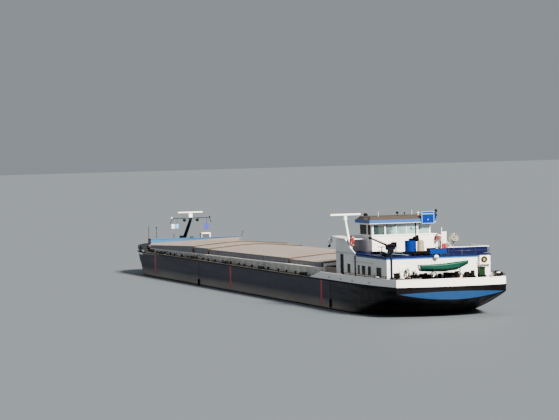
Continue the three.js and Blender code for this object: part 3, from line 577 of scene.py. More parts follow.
def takeNew(angle=None):
    bpy.ops.object.transform_apply(location=True, rotation=True, scale=True)
    if angle:
        bpy.ops.object.shade_smooth_by_angle(angle=math.radians(angle))
    return bpy.context.active_object


def block(start, end):
    deselectAll()
    low, high = [min(a, b) for a, b in zip(start, end)], [max(a, b) for a, b in zip(start, end)]
    bpy.ops.mesh.primitive_cube_add(size=1, location=[(a + b) / 2 for a, b in zip(low, high)])
    bpy.context.active_object.scale = [b - a for a, b in zip(low, high)]
    return takeNew()


def rod(start, end, radius, sides=8, endRadius=None):
    deselectAll()
    start, end = Vector(start), Vector(end)
    way = end - start
    bpy.ops.mesh.primitive_cone_add(
        vertices=sides, radius1=radius, radius2=radius if endRadius is None else endRadius,
        depth=way.length, location=(start + end) / 2, rotation=way.to_track_quat("Z", "Y").to_euler(),
    )
    return takeNew(50)


def post(x, y, bottom, top, *rest):
    return rod((x, y, bottom), (x, y, top), *rest)


def axle(x, start, end, z, *rest):
    return rod((x, start, z), (x, end, z), *rest)


def shaft(start, end, y, z, *rest):
    return rod((start, y, z), (end, y, z), *rest)


def ball(centre, radius, squash=1.0):
    deselectAll()
    bpy.ops.mesh.primitive_uv_sphere_add(segments=14, ring_count=9, radius=radius, location=centre)
    bpy.context.active_object.scale = (1, 1, squash)
    piece = takeNew()
    bpy.ops.object.shade_smooth()
    return piece


axisTurns = {"x": (0, math.radians(90), 0), "y": (math.radians(90), 0, 0), "z": (0, 0, 0)}


def hoop(centre, axis, radius, thick, segments=24):
    deselectAll()
    bpy.ops.mesh.primitive_torus_add(
        location=centre, rotation=axisTurns[axis], major_radius=radius, minor_radius=thick,
        major_segments=segments, minor_segments=8,
    )
    piece = takeNew()
    bpy.ops.object.shade_smooth()
    return piece


def tube(points, radius, sides=6):
    curve = bpy.data.curves.new("tube", "CURVE")
    curve.dimensions = "3D"
    line = curve.splines.new("POLY")
    line.points.add(len(points) - 1)
    for spot, xyz in zip(line.points, points):
        spot.co = (*xyz, 1)
    curve.bevel_depth = radius
    curve.bevel_resolution = (sides - 4) // 2
    curve.use_fill_caps = True
    choose(addToScene("tube", curve))
    bpy.ops.object.convert(target="MESH")
    bpy.ops.object.shade_smooth_by_angle(angle=math.radians(50))
    return bpy.context.active_object


def modify(piece, kind, **values):
    choose(piece)
    modifier = piece.modifiers.new(kind.lower(), kind)
    for label, value in values.items():
        setattr(modifier, label, value)
    bpy.ops.object.modifier_apply(modifier=modifier.name)
    return piece


def copyTo(piece, *offsets):
    made = []
    for offset in offsets:
        made.append(addToScene(piece.name, piece.data.copy()))
        made[-1].data.transform(Matrix.Translation(Vector(offset)))
    return made


def aim(piece, spot, way):
    turn = way.to_track_quat("Z", "Y").to_matrix().to_4x4()
    piece.data.transform(Matrix.Translation(spot) @ turn)
    return piece


def joinAll(name, parts):
    deselectAll()
    for part in parts:
        part.select_set(True)
    bpy.context.view_layer.objects.active = parts[0]
    if len(parts) > 1:
        bpy.ops.object.join()
    parts[0].name = name
    parts[0].data.name = name
    return parts[0]


def finish(piece, paint, body="hull"):
    piece.data.materials.clear()
    piece.data.materials.append(paints[paint] if isinstance(paint, str) else paint)
    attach(piece, body)
    return piece


def assemble(name, parts, paint, body="hull", bevel=0):
    piece = joinAll(name, parts)
    if bevel:
        modify(piece, "BEVEL", width=bevel, segments=1, limit_method="ANGLE", angle_limit=0.9)
    return finish(piece, paint, body)


def border(centre, axis, width, height, edge, thick):
    deselectAll()
    bpy.ops.mesh.primitive_plane_add(size=1, location=centre, rotation=axisTurns[axis])
    bpy.context.active_object.scale = (height, width, 1) if axis == "x" else (width, height, 1)
    piece = takeNew()
    bpy.ops.object.mode_set(mode="EDIT")
    bpy.ops.mesh.select_all(action="SELECT")
    bpy.ops.mesh.inset(thickness=edge, use_even_offset=True)
    bpy.ops.mesh.delete(type="FACE")
    bpy.ops.mesh.select_all(action="SELECT")
    bpy.ops.mesh.normals_make_consistent(inside=False)
    bpy.ops.object.mode_set(mode="OBJECT")
    return modify(piece, "SOLIDIFY", thickness=thick, offset=0)


def skin(section, x0, x1, thick):
    deselectAll()
    bpy.ops.mesh.primitive_grid_add(x_subdivisions=1, y_subdivisions=len(section) - 1, size=1)
    sheet = bpy.context.active_object
    for vertex in sheet.data.vertices:
        y, z = section[round((vertex.co.y + 0.5) * (len(section) - 1))]
        vertex.co = (x0 if vertex.co.x < 0 else x1, y, z)
    return modify(sheet, "SOLIDIFY", thickness=thick, offset=1)


def railing(foot, height, bars, radius, spacing):
    feet = []
    for a, b in zip(foot, foot[1:]):
        a, b = Vector(a), Vector(b)
        count = max(1, round((b - a).length / spacing))
        feet += [a.lerp(b, i / count) for i in range(count)]
    upright = post(0, 0, 0, height, radius, 6)
    parts = copyTo(upright, *feet, foot[-1])
    bpy.data.objects.remove(upright)
    rise = [Vector((0, 0, height * share)) for share in bars]
    return parts + [tube([Vector(spot) + up for spot in foot], radius) for up in rise]


# The hull's edge, from the same values as the solids
hullLine = {"half": 0.475, "bowEnd": 4.25, "bowRun": 0.95, "bowPower": 3, "sternTurn": -3.4,
            "sternNarrow": 0.075, "transomRound": 0.06, "transomFlat": 0.04}
deckTop, roofTop, houseSide = 0.3413, 0.5455, 0.390


def hullEdge(x):
    if x > 0:
        t = min(max((x - hullLine["bowEnd"] + hullLine["bowRun"]) / hullLine["bowRun"], 0), 1)
        return hullLine["half"] * (1 - t ** hullLine["bowPower"]) ** (1 / hullLine["bowPower"])
    t = min(max((hullLine["sternTurn"] - x) / (hullLine["sternTurn"] + hullLine["bowEnd"]), 0), 1)
    curve = 1 - min(max((x + hullLine["bowEnd"]) / hullLine["transomRound"], 0), 1) ** 0.5
    return hullLine["half"] - hullLine["sternNarrow"] * t ** 1.8 - curve * (0.400 - hullLine["transomFlat"])


def bulwarkTop(x):
    return 0.389 + 0.0021 * (-2.462 - x)


def bothSides(path):
    return path + [(x, -y, z) for x, y, z in reversed(path)]


def steps(start, step, count):
    return [start + i * step for i in range(count)]


sideDeck = {
    "vents": (
        -2.24, -1.72, -1.46, -1.22, -0.62, -0.4, -0.16, 0.02, 0.56, 0.82, 1.06, 1.24, 1.78, 2.02, 2.3, 2.46,
        2.98, 3.2,
    ),
    "y": 0.459, "height": 0.02,
    "chests": (-1.9, -0.72, 0.44, 1.64, 2.84),
    "fenders": ((1.33, 0.145), (-2.76, 0.165)),
}


def hullFittings():
    stern = [-4.2495, -4.245, -4.235, -4.22, -4.203, -4.19, -4.0, -3.8, -3.6, -3.4, -2.6]
    bow = [3.3, 3.45, 3.6, 3.75, 3.88, 3.98, 4.06, 4.12, 4.17, 4.21, 4.235, 4.2475]
    path = bothSides([(x, hullEdge(x) + 0.0015, 0.3335) for x in stern + bow])
    assemble("rubbingStrake", [tube(path, 0.0045)], "ironBlack")
    vent = joinAll("ventHead", [
        post(0, 0, deckTop, deckTop + sideDeck["height"], 0.006, 10),
        post(0, 0, deckTop + 0.012, deckTop + sideDeck["height"] + 0.004, 0.0105, 12, 0.007),
    ])
    chest = block((-0.034, -0.01, deckTop), (0.034, 0.01, deckTop + 0.022))
    parts = []
    for start, row in ((vent, "vents"), (chest, "chests")):
        parts += copyTo(start, *[(x, side * sideDeck["y"], 0) for x in sideDeck[row] for side in (1, -1)])
        bpy.data.objects.remove(start)
    assemble("sideDeckFittings", parts, "ironBlack", bevel=0.0006)
    fenders = []
    for x, z in sideDeck["fenders"]:
        for side in (1, -1):
            y = side * (hullEdge(x) + 0.008)
            fenders.append(post(x, y, z - 0.03, z + 0.03, 0.0085, 12))
            fenders.append(rod((x, y, z + 0.028), (x, y - side * 0.004, 0.338), 0.0012, 6))
    assemble("hangingFenders", fenders, "rubberBlack", bevel=0.002)


def bulwarkFittings():
    rail = []
    for side in (1, -1):
        xs = (-3.1, -3.4, -3.6, -3.8, -4.0, -4.18)
        foot = [(x, side * (hullEdge(x) - 0.003), bulwarkTop(x)) for x in xs]
        rail += railing(foot, 0.022, (1.0, 0.5), 0.0017, 0.16)
    assemble("bulwarkRails", rail, "ironBlack")
    xs = (-2.465, -2.8, -3.1, -3.4, -3.6, -3.8, -4.0, -4.19, -4.203, -4.22, -4.235, -4.245, -4.2475)
    path = bothSides([(x + 0.0015, hullEdge(x) - 0.003, bulwarkTop(x)) for x in xs])
    assemble("bulwarkCap", [tube(path, 0.0042)], "whitePaint")
    assemble("freeingPortFrames", [
        border((x, side * (hullEdge(x) + 0.0005), 0.358), "y", 0.04, 0.012, 0.0035, 0.003)
        for x in (-2.72, -3.02, -3.32, -3.7) for side in (1, -1)
    ], "galvanised")
    leads = [border((-4.2405, y, 0.366), "x", 0.05, 0.022, 0.005, 0.004) for y in (-0.15, 0.15)]
    assemble("mooringLeads", leads, "whitePaint", bevel=0.001)


# Hatch covers: the trims at their aft edges and the ribs on their sides ride on them
hatchFrame = {
    "slope": 0.0069, "half": 0.433, "edge": 0.4599, "step": 0.0082, "shoulder": 0.027, "crown": 0.030,
    "ledge": 0.4003,
}
coverRows = {
    # name: node, body, steps down, aft end, fore end, fall of the roof towards the bow
    "fore": ("hatch_cover_fore", "hull", 0, 1.720, 3.366, 0.032),
    "short": ("hatch_cover_short", "short_cover", 1, 1.200, 1.745, 0),
    "long": ("hatch_cover_long", "long_cover", 2, -1.380, 1.230, 0),
    "aft": ("hatch_cover_aft", "aft_cover", 3, -2.310, -1.350, 0),
}
hatchTurn = Matrix.Rotation(hatchFrame["slope"], 4, "Y")


def roofSection(level, lift, foot):
    half = hatchFrame["half"] - level * hatchFrame["step"] + lift
    edge = hatchFrame["edge"] - level * hatchFrame["step"] + lift
    right = [
        (half, foot), (half, edge), (0.25 * half, edge + hatchFrame["shoulder"]),
        (0, edge + hatchFrame["crown"]),
    ]
    return right + [(-y, z) for y, z in reversed(right[:-1])]


def coverTrims():
    foot = hatchFrame["ledge"] + 0.004
    for name, (node, body, level, aft, fore, fall) in coverRows.items():
        trim = joinAll(name + "EdgeTrim", [
            skin(roofSection(level, 0.0001, foot), aft - 0.0025, aft + 0.016, 0.0024),
            skin(roofSection(level, -0.003, foot), aft - 0.0025, aft - 0.0004, 0.0048),
        ])
        trim.data.transform(hatchTurn)
        finish(trim, "trimPaint", body)


def coverDetails():
    low = hatchFrame["ledge"] + 0.006
    for name, (node, body, level, aft, fore, fall) in coverRows.items():
        lower = level * hatchFrame["step"]
        count = max(3, round((fore - aft) / 0.16))
        parts = []
        for x in steps(aft + 0.05, (fore - aft - 0.1) / (count - 1), count):
            high = hatchFrame["edge"] - lower - 0.004 - fall * (x - aft) / (fore - aft)
            for side in (1, -1):
                y = side * (hatchFrame["half"] - lower)
                parts.append(block((x - 0.002, y, low), (x + 0.002, y + side * 0.0018, high)))
        ribs = assemble(name + "SideRibs", parts, "roofDust", body, bevel=0.0004)
        ribs.data.transform(hatchTurn)


def coamingDetails():
    parts = []
    for side in (1, -1):
        parts.append(tube([(x, side * 0.4385, 0.3985) for x in (-2.33, 3.34)], 0.0022))
        for x in steps(-2.24, 0.19, 30):
            parts.append(block((x, side * 0.437, 0.386), (x + 0.012, side * 0.4405, 0.396)))
    for x in (-2.26, -1.3, -0.2, 0.95, 2.1, 3.28):
        parts += [block((x, side * 0.4, 0.352), (x + 0.05, side * 0.403, 0.384)) for side in (1, -1)]
    rails = assemble("coamingDetails", parts, "coamingPaint", bevel=0.0006)
    rails.data.transform(hatchTurn)


def holdFrames():
    assemble("holdFrames", [
        block((x, side * 0.392, 0.05), (x + 0.005, side * 0.3885, 0.334))
        for x in steps(-2.28, 0.2, 29) for side in (1, -1)
    ], "coamingPaint", bevel=0.0006)
    bars = [block((x, -0.395, 0.424), (x + 0.018, 0.395, 0.429)) for x in (-2.39, -2.46, -2.545)]
    bars += [block((-2.60, y, 0.424), (-2.56, y + 0.05, 0.434)) for y in (-0.36, -0.2, -0.02, 0.14, 0.3)]
    assemble("trunkBars", bars, "ironBlack", bevel=0.0006)


hullFittings()
bulwarkFittings()
coverTrims()
coverDetails()
coamingDetails()
holdFrames()
print("hull and hatch fittings are on")


# Windows and doors
deckWindows = {
    "spans": ((-3.002, -2.914), (-3.242, -3.185), (-3.385, -3.286), (-3.524, -3.437), (-3.780, -3.648)),
    "heights": (0.397, 0.468),
}
frontWindows = {"centres": (-0.26, -0.09, 0.09, 0.26), "half": 0.05, "heights": (0.452, 0.515)}


# Half the thickness of a pane, and the thickness of its frame
glazing = {"half": 0.0008, "frame": 0.003}


def window(axis, plane, span, heights, margin, edge, depth):
    (start, end), (low, high), inner = span, heights, plane - depth
    points = [((start + end) / 2, plane, (low + high) / 2)]
    points += [(start, inner - glazing["half"], low), (end, inner + glazing["half"], high)]
    if axis == "x":
        points = [(y, x, z) for x, y, z in points]
    outline = border(points[0], axis, end - start + margin, high - low + margin, edge, glazing["frame"])
    return outline, block(points[1], points[2])


def deckhouseWindows():
    made = [
        window("y", side * (houseSide + 0.0005), span, deckWindows["heights"], 0.008, 0.006, side * 0.0045)
        for side in (1, -1) for span in deckWindows["spans"]
    ]
    for y in frontWindows["centres"]:
        span = (y - frontWindows["half"], y + frontWindows["half"])
        made.append(window("x", -2.6195, span, frontWindows["heights"], 0.008, 0.006, 0.0045))
    frames, panes = zip(*made)
    assemble("deckhouseWindowFrames", frames, "whitePaint")
    assemble("deckhouseWindowPanes", panes, "sideGlass", bevel=0.0003)


bridgeWindows = {
    "aft": ((0.128, 0.218), (-0.122, 0.122), (-0.218, -0.132)),
    "fore": ((0.080, 0.216), (-0.068, 0.068), (-0.216, -0.080)),
    "port": ((-2.900, -2.726), (-3.008, -2.924)),
    "starboard": ((-3.014, -2.905), (-2.785, -2.726)),
    "heights": (0.674, 0.751), "half": 0.228, "aftWall": -3.030, "foreWall": -2.710,
}


def wheelhouseWindows():
    ends, sides, heights = [], [], bridgeWindows["heights"]
    for wall, out in (("aft", -1), ("fore", 1)):
        plane = bridgeWindows[wall + "Wall"] + out * 0.0005
        ends += [window("x", plane, span, heights, 0.006, 0.005, out * 0.003) for span in bridgeWindows[wall]]
    for wall, out in (("port", 1), ("starboard", -1)):
        plane = out * (bridgeWindows["half"] + 0.0005)
        sides += [
            window("y", plane, span, heights, 0.006, 0.005, out * 0.003) for span in bridgeWindows[wall]
        ]
    low, high = heights
    frames = [outline for outline, pane in ends + sides]
    frames += [block((-3.0325, y - 0.0025, low), (-3.0295, y + 0.0025, high)) for y in (0.04, -0.04)]
    assemble("wheelhouseWindowFrames", frames, "whitePaint")
    assemble("wheelhouseEndGlass", [pane for outline, pane in ends], "sternGlass", bevel=0.0003)
    assemble("wheelhouseSideGlass", [pane for outline, pane in sides], "sideGlass", bevel=0.0003)
    pane = block((-2.878, -0.2262, 0.674), (-2.812, -0.2246, 0.740))
    assemble("bridgeDoorPane", [pane], "sideGlass", "bridge_door", bevel=0.0003)
    grip = [
        (-2.812, y, z) for y, z in ((-0.2285, 0.64), (-0.2325, 0.642), (-0.2325, 0.672), (-0.2285, 0.674))
    ]
    assemble("bridgeDoorGrip", [tube(grip, 0.0012)], "galvanised", "bridge_door")
    assemble("portBlinds", [
        block((x0, 0.214, z), (x1, 0.2165, z + 0.0052))
        for z in steps(0.676, 0.0068, 11) for x0, x1 in ((-2.898, -2.80), (-3.004, -2.96))
    ], "blindBrown")


def doorDetails():
    for side, name in ((1, "port"), (-1, "starboard")):
        y, body, slot = side * houseSide, name + "_entry_door", name + "_door"
        panel = [border((-2.776, y + side * 0.0008, 0.44), "y", 0.06, 0.15, 0.005, 0.0022)]
        panel += [block((-2.8, y, z), (-2.752, y + side * 0.0016, z + 0.02)) for z in steps(0.378, 0.026, 5)]
        assemble(body + "Panel", panel, "doorNavy", body, bevel=0.0004)
        hinges = [post(-2.8187, y + side * 0.001, z, z + 0.012, 0.0022) for z in (0.37, 0.435, 0.5)]
        assemble(body + "Hinges", hinges, "galvanised", body, bevel=0.0003)


deckhouseWindows()
wheelhouseWindows()
doorDetails()
print("windows and doors are fitted")


# Deckhouse and its roof
def deckhouseDetails():
    lips, pipes, grips = [], [], []
    strips = [block((-3.9135, -0.3925, 0.527), (-3.911, 0.3925, 0.5385))]
    for side in (1, -1):
        edge, wall, pipe, hand = [side * y for y in (0.394, houseSide, 0.3955, houseSide + 0.007)]
        strips.append(block((-3.911, wall, 0.527), (-3.16, side * 0.3925, 0.5385)))
        lips.append(tube([(-3.14, edge, roofTop), (-3.917, edge, roofTop), (-3.917, 0, roofTop)], 0.0032))
        down = [(-3.132, pipe - side * 0.006, 0.532), (-3.132, pipe, 0.526), (-3.132, pipe, 0.345)]
        pipes.append(tube(down, 0.0045, 8))
        pipes += [block((-3.139, wall, z), (-3.125, side * 0.3965, z + 0.004)) for z in (0.38, 0.43, 0.48)]
        path = [(x, y, 0.49) for x, y in ((-3.58, wall), (-3.58, hand), (-3.02, hand), (-3.02, wall))]
        grips.append(tube(path, 0.0014))
        grips.append(tube([(x, wall + side * 0.001, 0.3505) for x in (-3.905, -2.84)], 0.0022))
    assemble("eavesStrips", strips, "lightBluePaint", bevel=0.0004)
    assemble("roofLip", lips, "roofNavy")
    assemble("drainPipes", pipes, "navyPaint")
    assemble("houseHandRails", grips, "galvanised")
    assemble("aftFloodlight", [
        post(-3.932, 0.024, 0.524, 0.536, 0.010, 14, 0.0205),
        tube([(-3.915, 0.024, 0.522), (-3.932, 0.024, 0.522), (-3.932, 0.024, 0.526)], 0.003, 8),
        tube([(-3.914, 0.03, 0.522), (-3.914, 0.03, 0.36)], 0.0016),
        tube([(-3.914, 0.052, 0.522), (-3.914, 0.052, 0.36)], 0.0012),
    ], "galvanised", bevel=0.001)
    assemble("aftFloodlightLens", [ball((-3.932, 0.024, 0.539), 0.0185, 0.8)], "lampLens")
    vents = [block((-3.917, 0.24, 0.44), (-3.911, 0.30, 0.475))]
    vents += [block((-3.919, 0.243, z), (-3.9165, 0.297, z + 0.003)) for z in steps(0.4445, 0.0065, 5)]
    assemble("aftWallVent", vents, "whitePaint", bevel=0.0004)


airConditioner = {"face": -3.945, "y": -0.333, "z": 0.508, "rings": (0.008, 0.014, 0.0195, 0.024)}


def airConditionerDetails():
    face, y, z = airConditioner["face"], airConditioner["y"], airConditioner["z"]
    rings = [hoop((face - 0.0008, y, z), "x", radius, 0.0011) for radius in airConditioner["rings"]]
    for turn in steps(0, math.pi / 4, 8):
        end = (face - 0.001, y + math.cos(turn) * 0.0245, z + math.sin(turn) * 0.0245)
        rings.append(tube([(face - 0.001, y, z), end], 0.0008))
    assemble("fanGrille", rings, "fanBrown")
    assemble("fanWell", [shaft(face - 0.0003, face + 0.003, y, z, 0.0225, 20)], "fanBrown", bevel=0.0002)
    assemble("fanHub", [shaft(face - 0.0022, face, y, z, 0.009, 16)], "plasticBeige", bevel=0.0002)
    assemble("unitShelf", [
        block((-3.943, -0.385, 0.474), (-3.911, -0.295, 0.4778)),
        tube([(-3.938, -0.375, 0.475), (-3.912, -0.375, 0.45)], 0.0018),
        tube([(-3.938, -0.305, 0.475), (-3.912, -0.305, 0.45)], 0.0018),
        tube([(-3.925, -0.30, 0.49), (-3.925, -0.29, 0.488), (-3.913, -0.288, 0.488)], 0.0022),
    ], "whitePaint", bevel=0.0004)


lifeRings = {
    # side: middle, ring radius, thickness
    "starboard": ((-3.056, -0.270, 0.640), 0.023, 0.0065),
    "port": ((-2.983, 0.370, 0.634), 0.034, 0.0085),
}
searchLamps = (
    # x, y, foot, head, radius
    (-2.76, 0.19, 0.80, 0.818, 0.014), (-2.90, -0.014, 0.809, 0.832, 0.009),
    (-2.90, -0.07, 0.809, 0.828, 0.006),
)


def moulding(port, aft, starboard, y, z, radius):
    return tube([(port, y, z), (aft, y, z), (aft, -y, z), (starboard, -y, z)], radius)


def bridgeDetails():
    dark = []
    for x, y, low, high, radius in searchLamps:
        dark.append(tube([(x, y, low), (x, y, high)], radius * 0.28))
        dark.append(shaft(x - radius, x + radius * 1.4, y, high, radius * 0.8, 14, radius))
    dark += [
        tube([(-3.04, -0.252, 0.786), (-3.04, -0.27, 0.788), (-3.04, -0.272, 0.85)], 0.003),
        post(-3.04, -0.272, 0.832, 0.853, 0.009, 12),
        post(-3.04, -0.272, 0.804, 0.816, 0.008, 12),
    ]
    assemble("bridgeRoofLamps", dark, "ironBlack", bevel=0.0006)
    assemble("bridgeRoofAerials", [
        tube([(-2.98, 0.16, 0.80), (-2.985, 0.162, 0.846)], 0.0012),
        tube([(-2.79, -0.16, 0.80), (-2.792, -0.162, 0.846)], 0.0012),
        post(-2.92, -0.17, 0.80, 0.826, 0.0025, 10),
        ball((-2.92, -0.17, 0.828), 0.008, 0.8),
    ], "radarWhite", bevel=0.0004)
    assemble("bridgeMouldings", [
        moulding(-2.72, -3.0325, -2.905, 0.2295, 0.668, 0.003),
        tube([(-3.0315, 0.2285, 0.5475), (-3.0315, -0.2285, 0.5475)], 0.003),
        moulding(-2.70, -3.0755, -2.70, 0.2585, 0.7605, 0.0016),
    ], "whitePaint")
    for side, (middle, radius, thick) in lifeRings.items():
        assemble(side + "LifeRing", [hoop(middle, "y", radius, thick)], "lifeRed")
        middle, bands = Vector(middle), []
        for turn in steps(math.pi / 4, math.pi / 2, 4):
            along = Vector((math.cos(turn), 0, math.sin(turn)))
            band = post(0, 0, -thick * 0.22, thick * 0.22, thick + 0.0006, 12)
            bands.append(aim(band, middle + along * radius, along.cross(Vector((0, 1, 0)))))
        bands.append(post(middle.x, middle.y, roofTop, middle.z + radius, 0.0025))
        assemble(side + "LifeRingBands", bands, "whitePaint", bevel=0.0004)


def wheelhouseInside():
    wheel = [
        hoop((-2.812, 0, 0.655), "x", 0.021, 0.0016),
        rod((-2.815, 0, 0.655), (-2.785, 0, 0.648), 0.004, 10),
    ]
    for t in (0.5, 2.6, 4.7):
        end = (-2.812, 0.021 * math.cos(t), 0.655 + 0.021 * math.sin(t))
        wheel.append(tube([(-2.812, 0, 0.655), end], 0.001))
    assemble("steeringWheel", wheel, "galvanised")
    assemble("bridgeScreens", [
        block((-2.79, y - 0.026, 0.647), (-2.783, y + 0.026, 0.683)) for y in (-0.075, 0.075)
    ], "rubberBlack", bevel=0.001)
    arms = [block((-2.905, s * 0.026, 0.62), (-2.868, s * 0.031, 0.626)) for s in (1, -1)]
    arms.append(block((-2.921, -0.015, 0.668), (-2.912, 0.015, 0.682)))
    assemble("helmChairFittings", arms, "rubberBlack", bevel=0.0012)


def canopyDetails():
    assemble("wingLamp", [
        tube([(-2.526, 0.388, 0.6555), (-2.500, 0.390, 0.652), (-2.486, 0.390, 0.628)], 0.003),
        rod((-2.500, 0.390, 0.624), (-2.468, 0.390, 0.619), 0.014, 14, 0.019),
        block((-2.5245, -0.393, 0.6505), (-2.5215, 0.393, 0.6600)),
    ], "radarWhite", bevel=0.0008)
    assemble("wingFittings", [
        tube([(-2.525, 0.388, 0.652), (-2.46, 0.390, 0.596), (-2.452, 0.390, 0.584)], 0.0024),
        rod((-2.462, 0.390, 0.586), (-2.440, 0.390, 0.580), 0.008, 12, 0.010),
        tube([(-2.66, -0.30, 0.652), (-2.66, -0.30, 0.745)], 0.002),
    ], "ironBlack")


def addChair(x, y, turn):
    parts = [
        block((-0.02, -0.02, 0.040), (0.02, 0.02, 0.044)),
        block((-0.022, -0.02, 0.046), (-0.018, 0.02, 0.086)),
    ]
    for a in (-0.018, 0.018):
        for b in (-0.018, 0.018):
            parts.append(tube([(a * 1.15, b * 1.15, 0), (a, b, 0.041)], 0.0016))
    for b in (-0.018, 0.018):
        parts.append(tube([(-0.018, b, 0.04), (-0.0205, b, 0.084)], 0.0014))
    chair = joinAll("chair", parts)
    chair.data.transform(Matrix.Translation((x, y, roofTop)) @ Matrix.Rotation(turn, 4, "Z"))
    return chair


def roofFurniture():
    assemble("deckChairs", [
        addChair(-3.36, 0.165, 2.6), addChair(-3.43, 0.205, 0.4), addChair(-3.50, -0.13, 1.2),
    ], "navyPaint", bevel=0.0004)
    assemble("roofTable", [
        post(-3.39, 0.265, 0.598, 0.602, 0.034, 20),
        post(-3.39, 0.265, roofTop, 0.599, 0.004, 10),
        post(-3.39, 0.265, roofTop, 0.549, 0.02, 16, 0.012),
    ], "bagBlack", bevel=0.0006)
    boxes = [
        block((-3.57, 0.04, roofTop), (-3.49, 0.135, 0.560)),
        block((-3.44, -0.135, roofTop), (-3.38, -0.080, 0.578)),
        block((-3.30, 0.21, roofTop), (-3.20, 0.29, 0.562)),
    ]
    boxes += [
        block((-3.574, 0.036, 0.560), (-3.486, 0.139, 0.564)),
        block((-3.443, -0.138, 0.578), (-3.377, -0.077, 0.581)),
    ]
    assemble("roofBoxes", boxes, "bagBlack", bevel=0.0012)
    bags = [
        ball((-3.415, 0.012, 0.652), 0.027, 0.75), ball((-3.405, 0.045, 0.648), 0.02, 0.5),
        ball((-3.412, 0.0, 0.668), 0.014, 0.8),
    ]
    for x, y, radius in (
        (-3.80, 0.15, 0.022), (-3.77, 0.11, 0.028), (-3.79, 0.06, 0.024), (-3.74, 0.02, 0.026),
        (-3.70, 0.19, 0.024),
    ):
        bags.append(ball((x, y, roofTop + radius * 0.55), radius, 0.6))
    assemble("roofBags", bags, "bagBlack")
    sticks = [
        tube([(-3.79, y, 0.549), (-3.62, y + 0.06, 0.590), (-3.55, y + 0.02, 0.556)], 0.0014)
        for y in (0.20, 0.245, 0.30)
    ]
    sticks.append(tube([(-3.80, 0.19, 0.552), (-3.80, 0.33, 0.566)], 0.0014))
    assemble("foldedFrames", sticks, "seatWhite")
    assemble("foldedSeats", [
        block((-3.76, 0.205, roofTop), (-3.60, 0.335, 0.5585)),
        block((-3.80, 0.24, roofTop), (-3.77, 0.36, 0.570)),
    ], "bagBlack", bevel=0.002)
    assemble("roofSkylight", [
        block((-3.72, -0.09, roofTop), (-3.62, 0.05, 0.566)),
        block((-3.725, -0.095, 0.566), (-3.615, 0.055, 0.571)),
    ], "navyPaint", bevel=0.0012)
    assemble("storeDrumHoops", [
        hoop((-3.4, 0.048, z), "z", 0.0415, 0.0016, 32) for z in (0.575, 0.608, 0.638)
    ], "plasticBlue")
    cask = [
        hoop((-3.4, -0.030, z), "z", 0.0278 - (z - 0.546) * 0.045, 0.0014, 28) for z in (0.562, 0.592, 0.622)
    ]
    cask.append(post(-3.4, -0.030, 0.634, 0.642, 0.021, 20, 0.012))
    assemble("storeCaskHoops", cask, "plasticBeige")
    assemble("screenRails", [
        tube([(-3.8995, -0.376, z), (-3.8995, 0.058, z)], 0.0014) for z in (0.558, 0.597)
    ], "doorNavy")
    feed = joinAll("dishFeed", [
        hoop((0, 0, 0), "z", 0.0335, 0.0016, 28),
        tube([(0, -0.03, 0.002), (0, -0.005, 0.034)], 0.0016),
        rod((0, -0.008, 0.03), (0, -0.001, 0.042), 0.0055, 10),
    ])
    assemble("roofStacks", [
        tube([(-3.66, -0.168, roofTop), (-3.66, -0.168, 0.668)], 0.0042),
        tube([(-3.66, -0.142, roofTop), (-3.66, -0.142, 0.655)], 0.0024),
        post(-3.66, -0.142, 0.628, 0.658, 0.006, 10),
    ], "plasticBeige")
    aim(feed, (-3.662, -0.207, 0.664), Vector((-0.007, 0, 0.006)))
    assemble("dishFeed", [feed], "galvanised")


def addPlant(x, y, z, height, spread, count):
    leaf = block((-0.0035, -0.0006, 0), (0.0035, 0.0006, 0.022))
    for vertex in leaf.data.vertices:
        if vertex.co.z > 0.01:
            vertex.co.x *= 0.15
            vertex.co.y += 0.006
    leaves = []
    for i in range(count):
        turn = random.uniform(0, 2 * math.pi)
        rise = random.uniform(0, 1)
        twin = copyTo(leaf, (0, 0, 0))[0]
        lean = Matrix.Rotation(random.uniform(0.3, 1.3), 4, "X")
        reach = spread * math.sqrt(random.random()) * (1 - 0.5 * rise)
        spot = (x + reach * math.cos(turn), y + reach * math.sin(turn), z + rise * height)
        twin.data.transform(Matrix.Translation(spot) @ Matrix.Rotation(turn, 4, "Z") @ lean)
        leaves.append(twin)
    bpy.data.objects.remove(leaf)
    for t in (0.4, 2.3, 4.1):
        top = (x + math.cos(t) * spread * 0.6, y + math.sin(t) * spread * 0.6, z + height)
        leaves.append(tube([(x, y, z), top], 0.0012))
    return leaves


plants = (
    # x, y, pot height, leaf height, spread
    (-4.02, 0.275, 0.06, 0.06, 0.03),
    (-4.00, 0.215, 0.055, 0.04, 0.026),
    (-3.97, 0.325, 0.05, 0.035, 0.022),
)


def plantPots():
    pots, leaves = [], []
    for x, y, tall, leafy, spread in plants:
        pots.append(post(x, y, deckTop, deckTop + tall, 0.016, 14, 0.022))
        pots.append(hoop((x, y, deckTop + tall), "z", 0.0215, 0.002))
        leaves += addPlant(x, y, deckTop + tall - 0.003, leafy, spread, 46)
    assemble("plantPots", pots, "potClay", bevel=0.0008)
    assemble("plantLeaves", leaves, "leafGreen")


deckhouseDetails()
airConditionerDetails()
bridgeDetails()
wheelhouseInside()
canopyDetails()
roofFurniture()
plantPots()
print("deckhouse, wheelhouse and roof are fitted out")


# Stern deck
def crank(x, ys, zs, radius):
    return tube([(x, ys[0], zs[0]), (x, ys[1], zs[0]), (x, ys[1], zs[1]), (x, ys[2], zs[1])], radius)


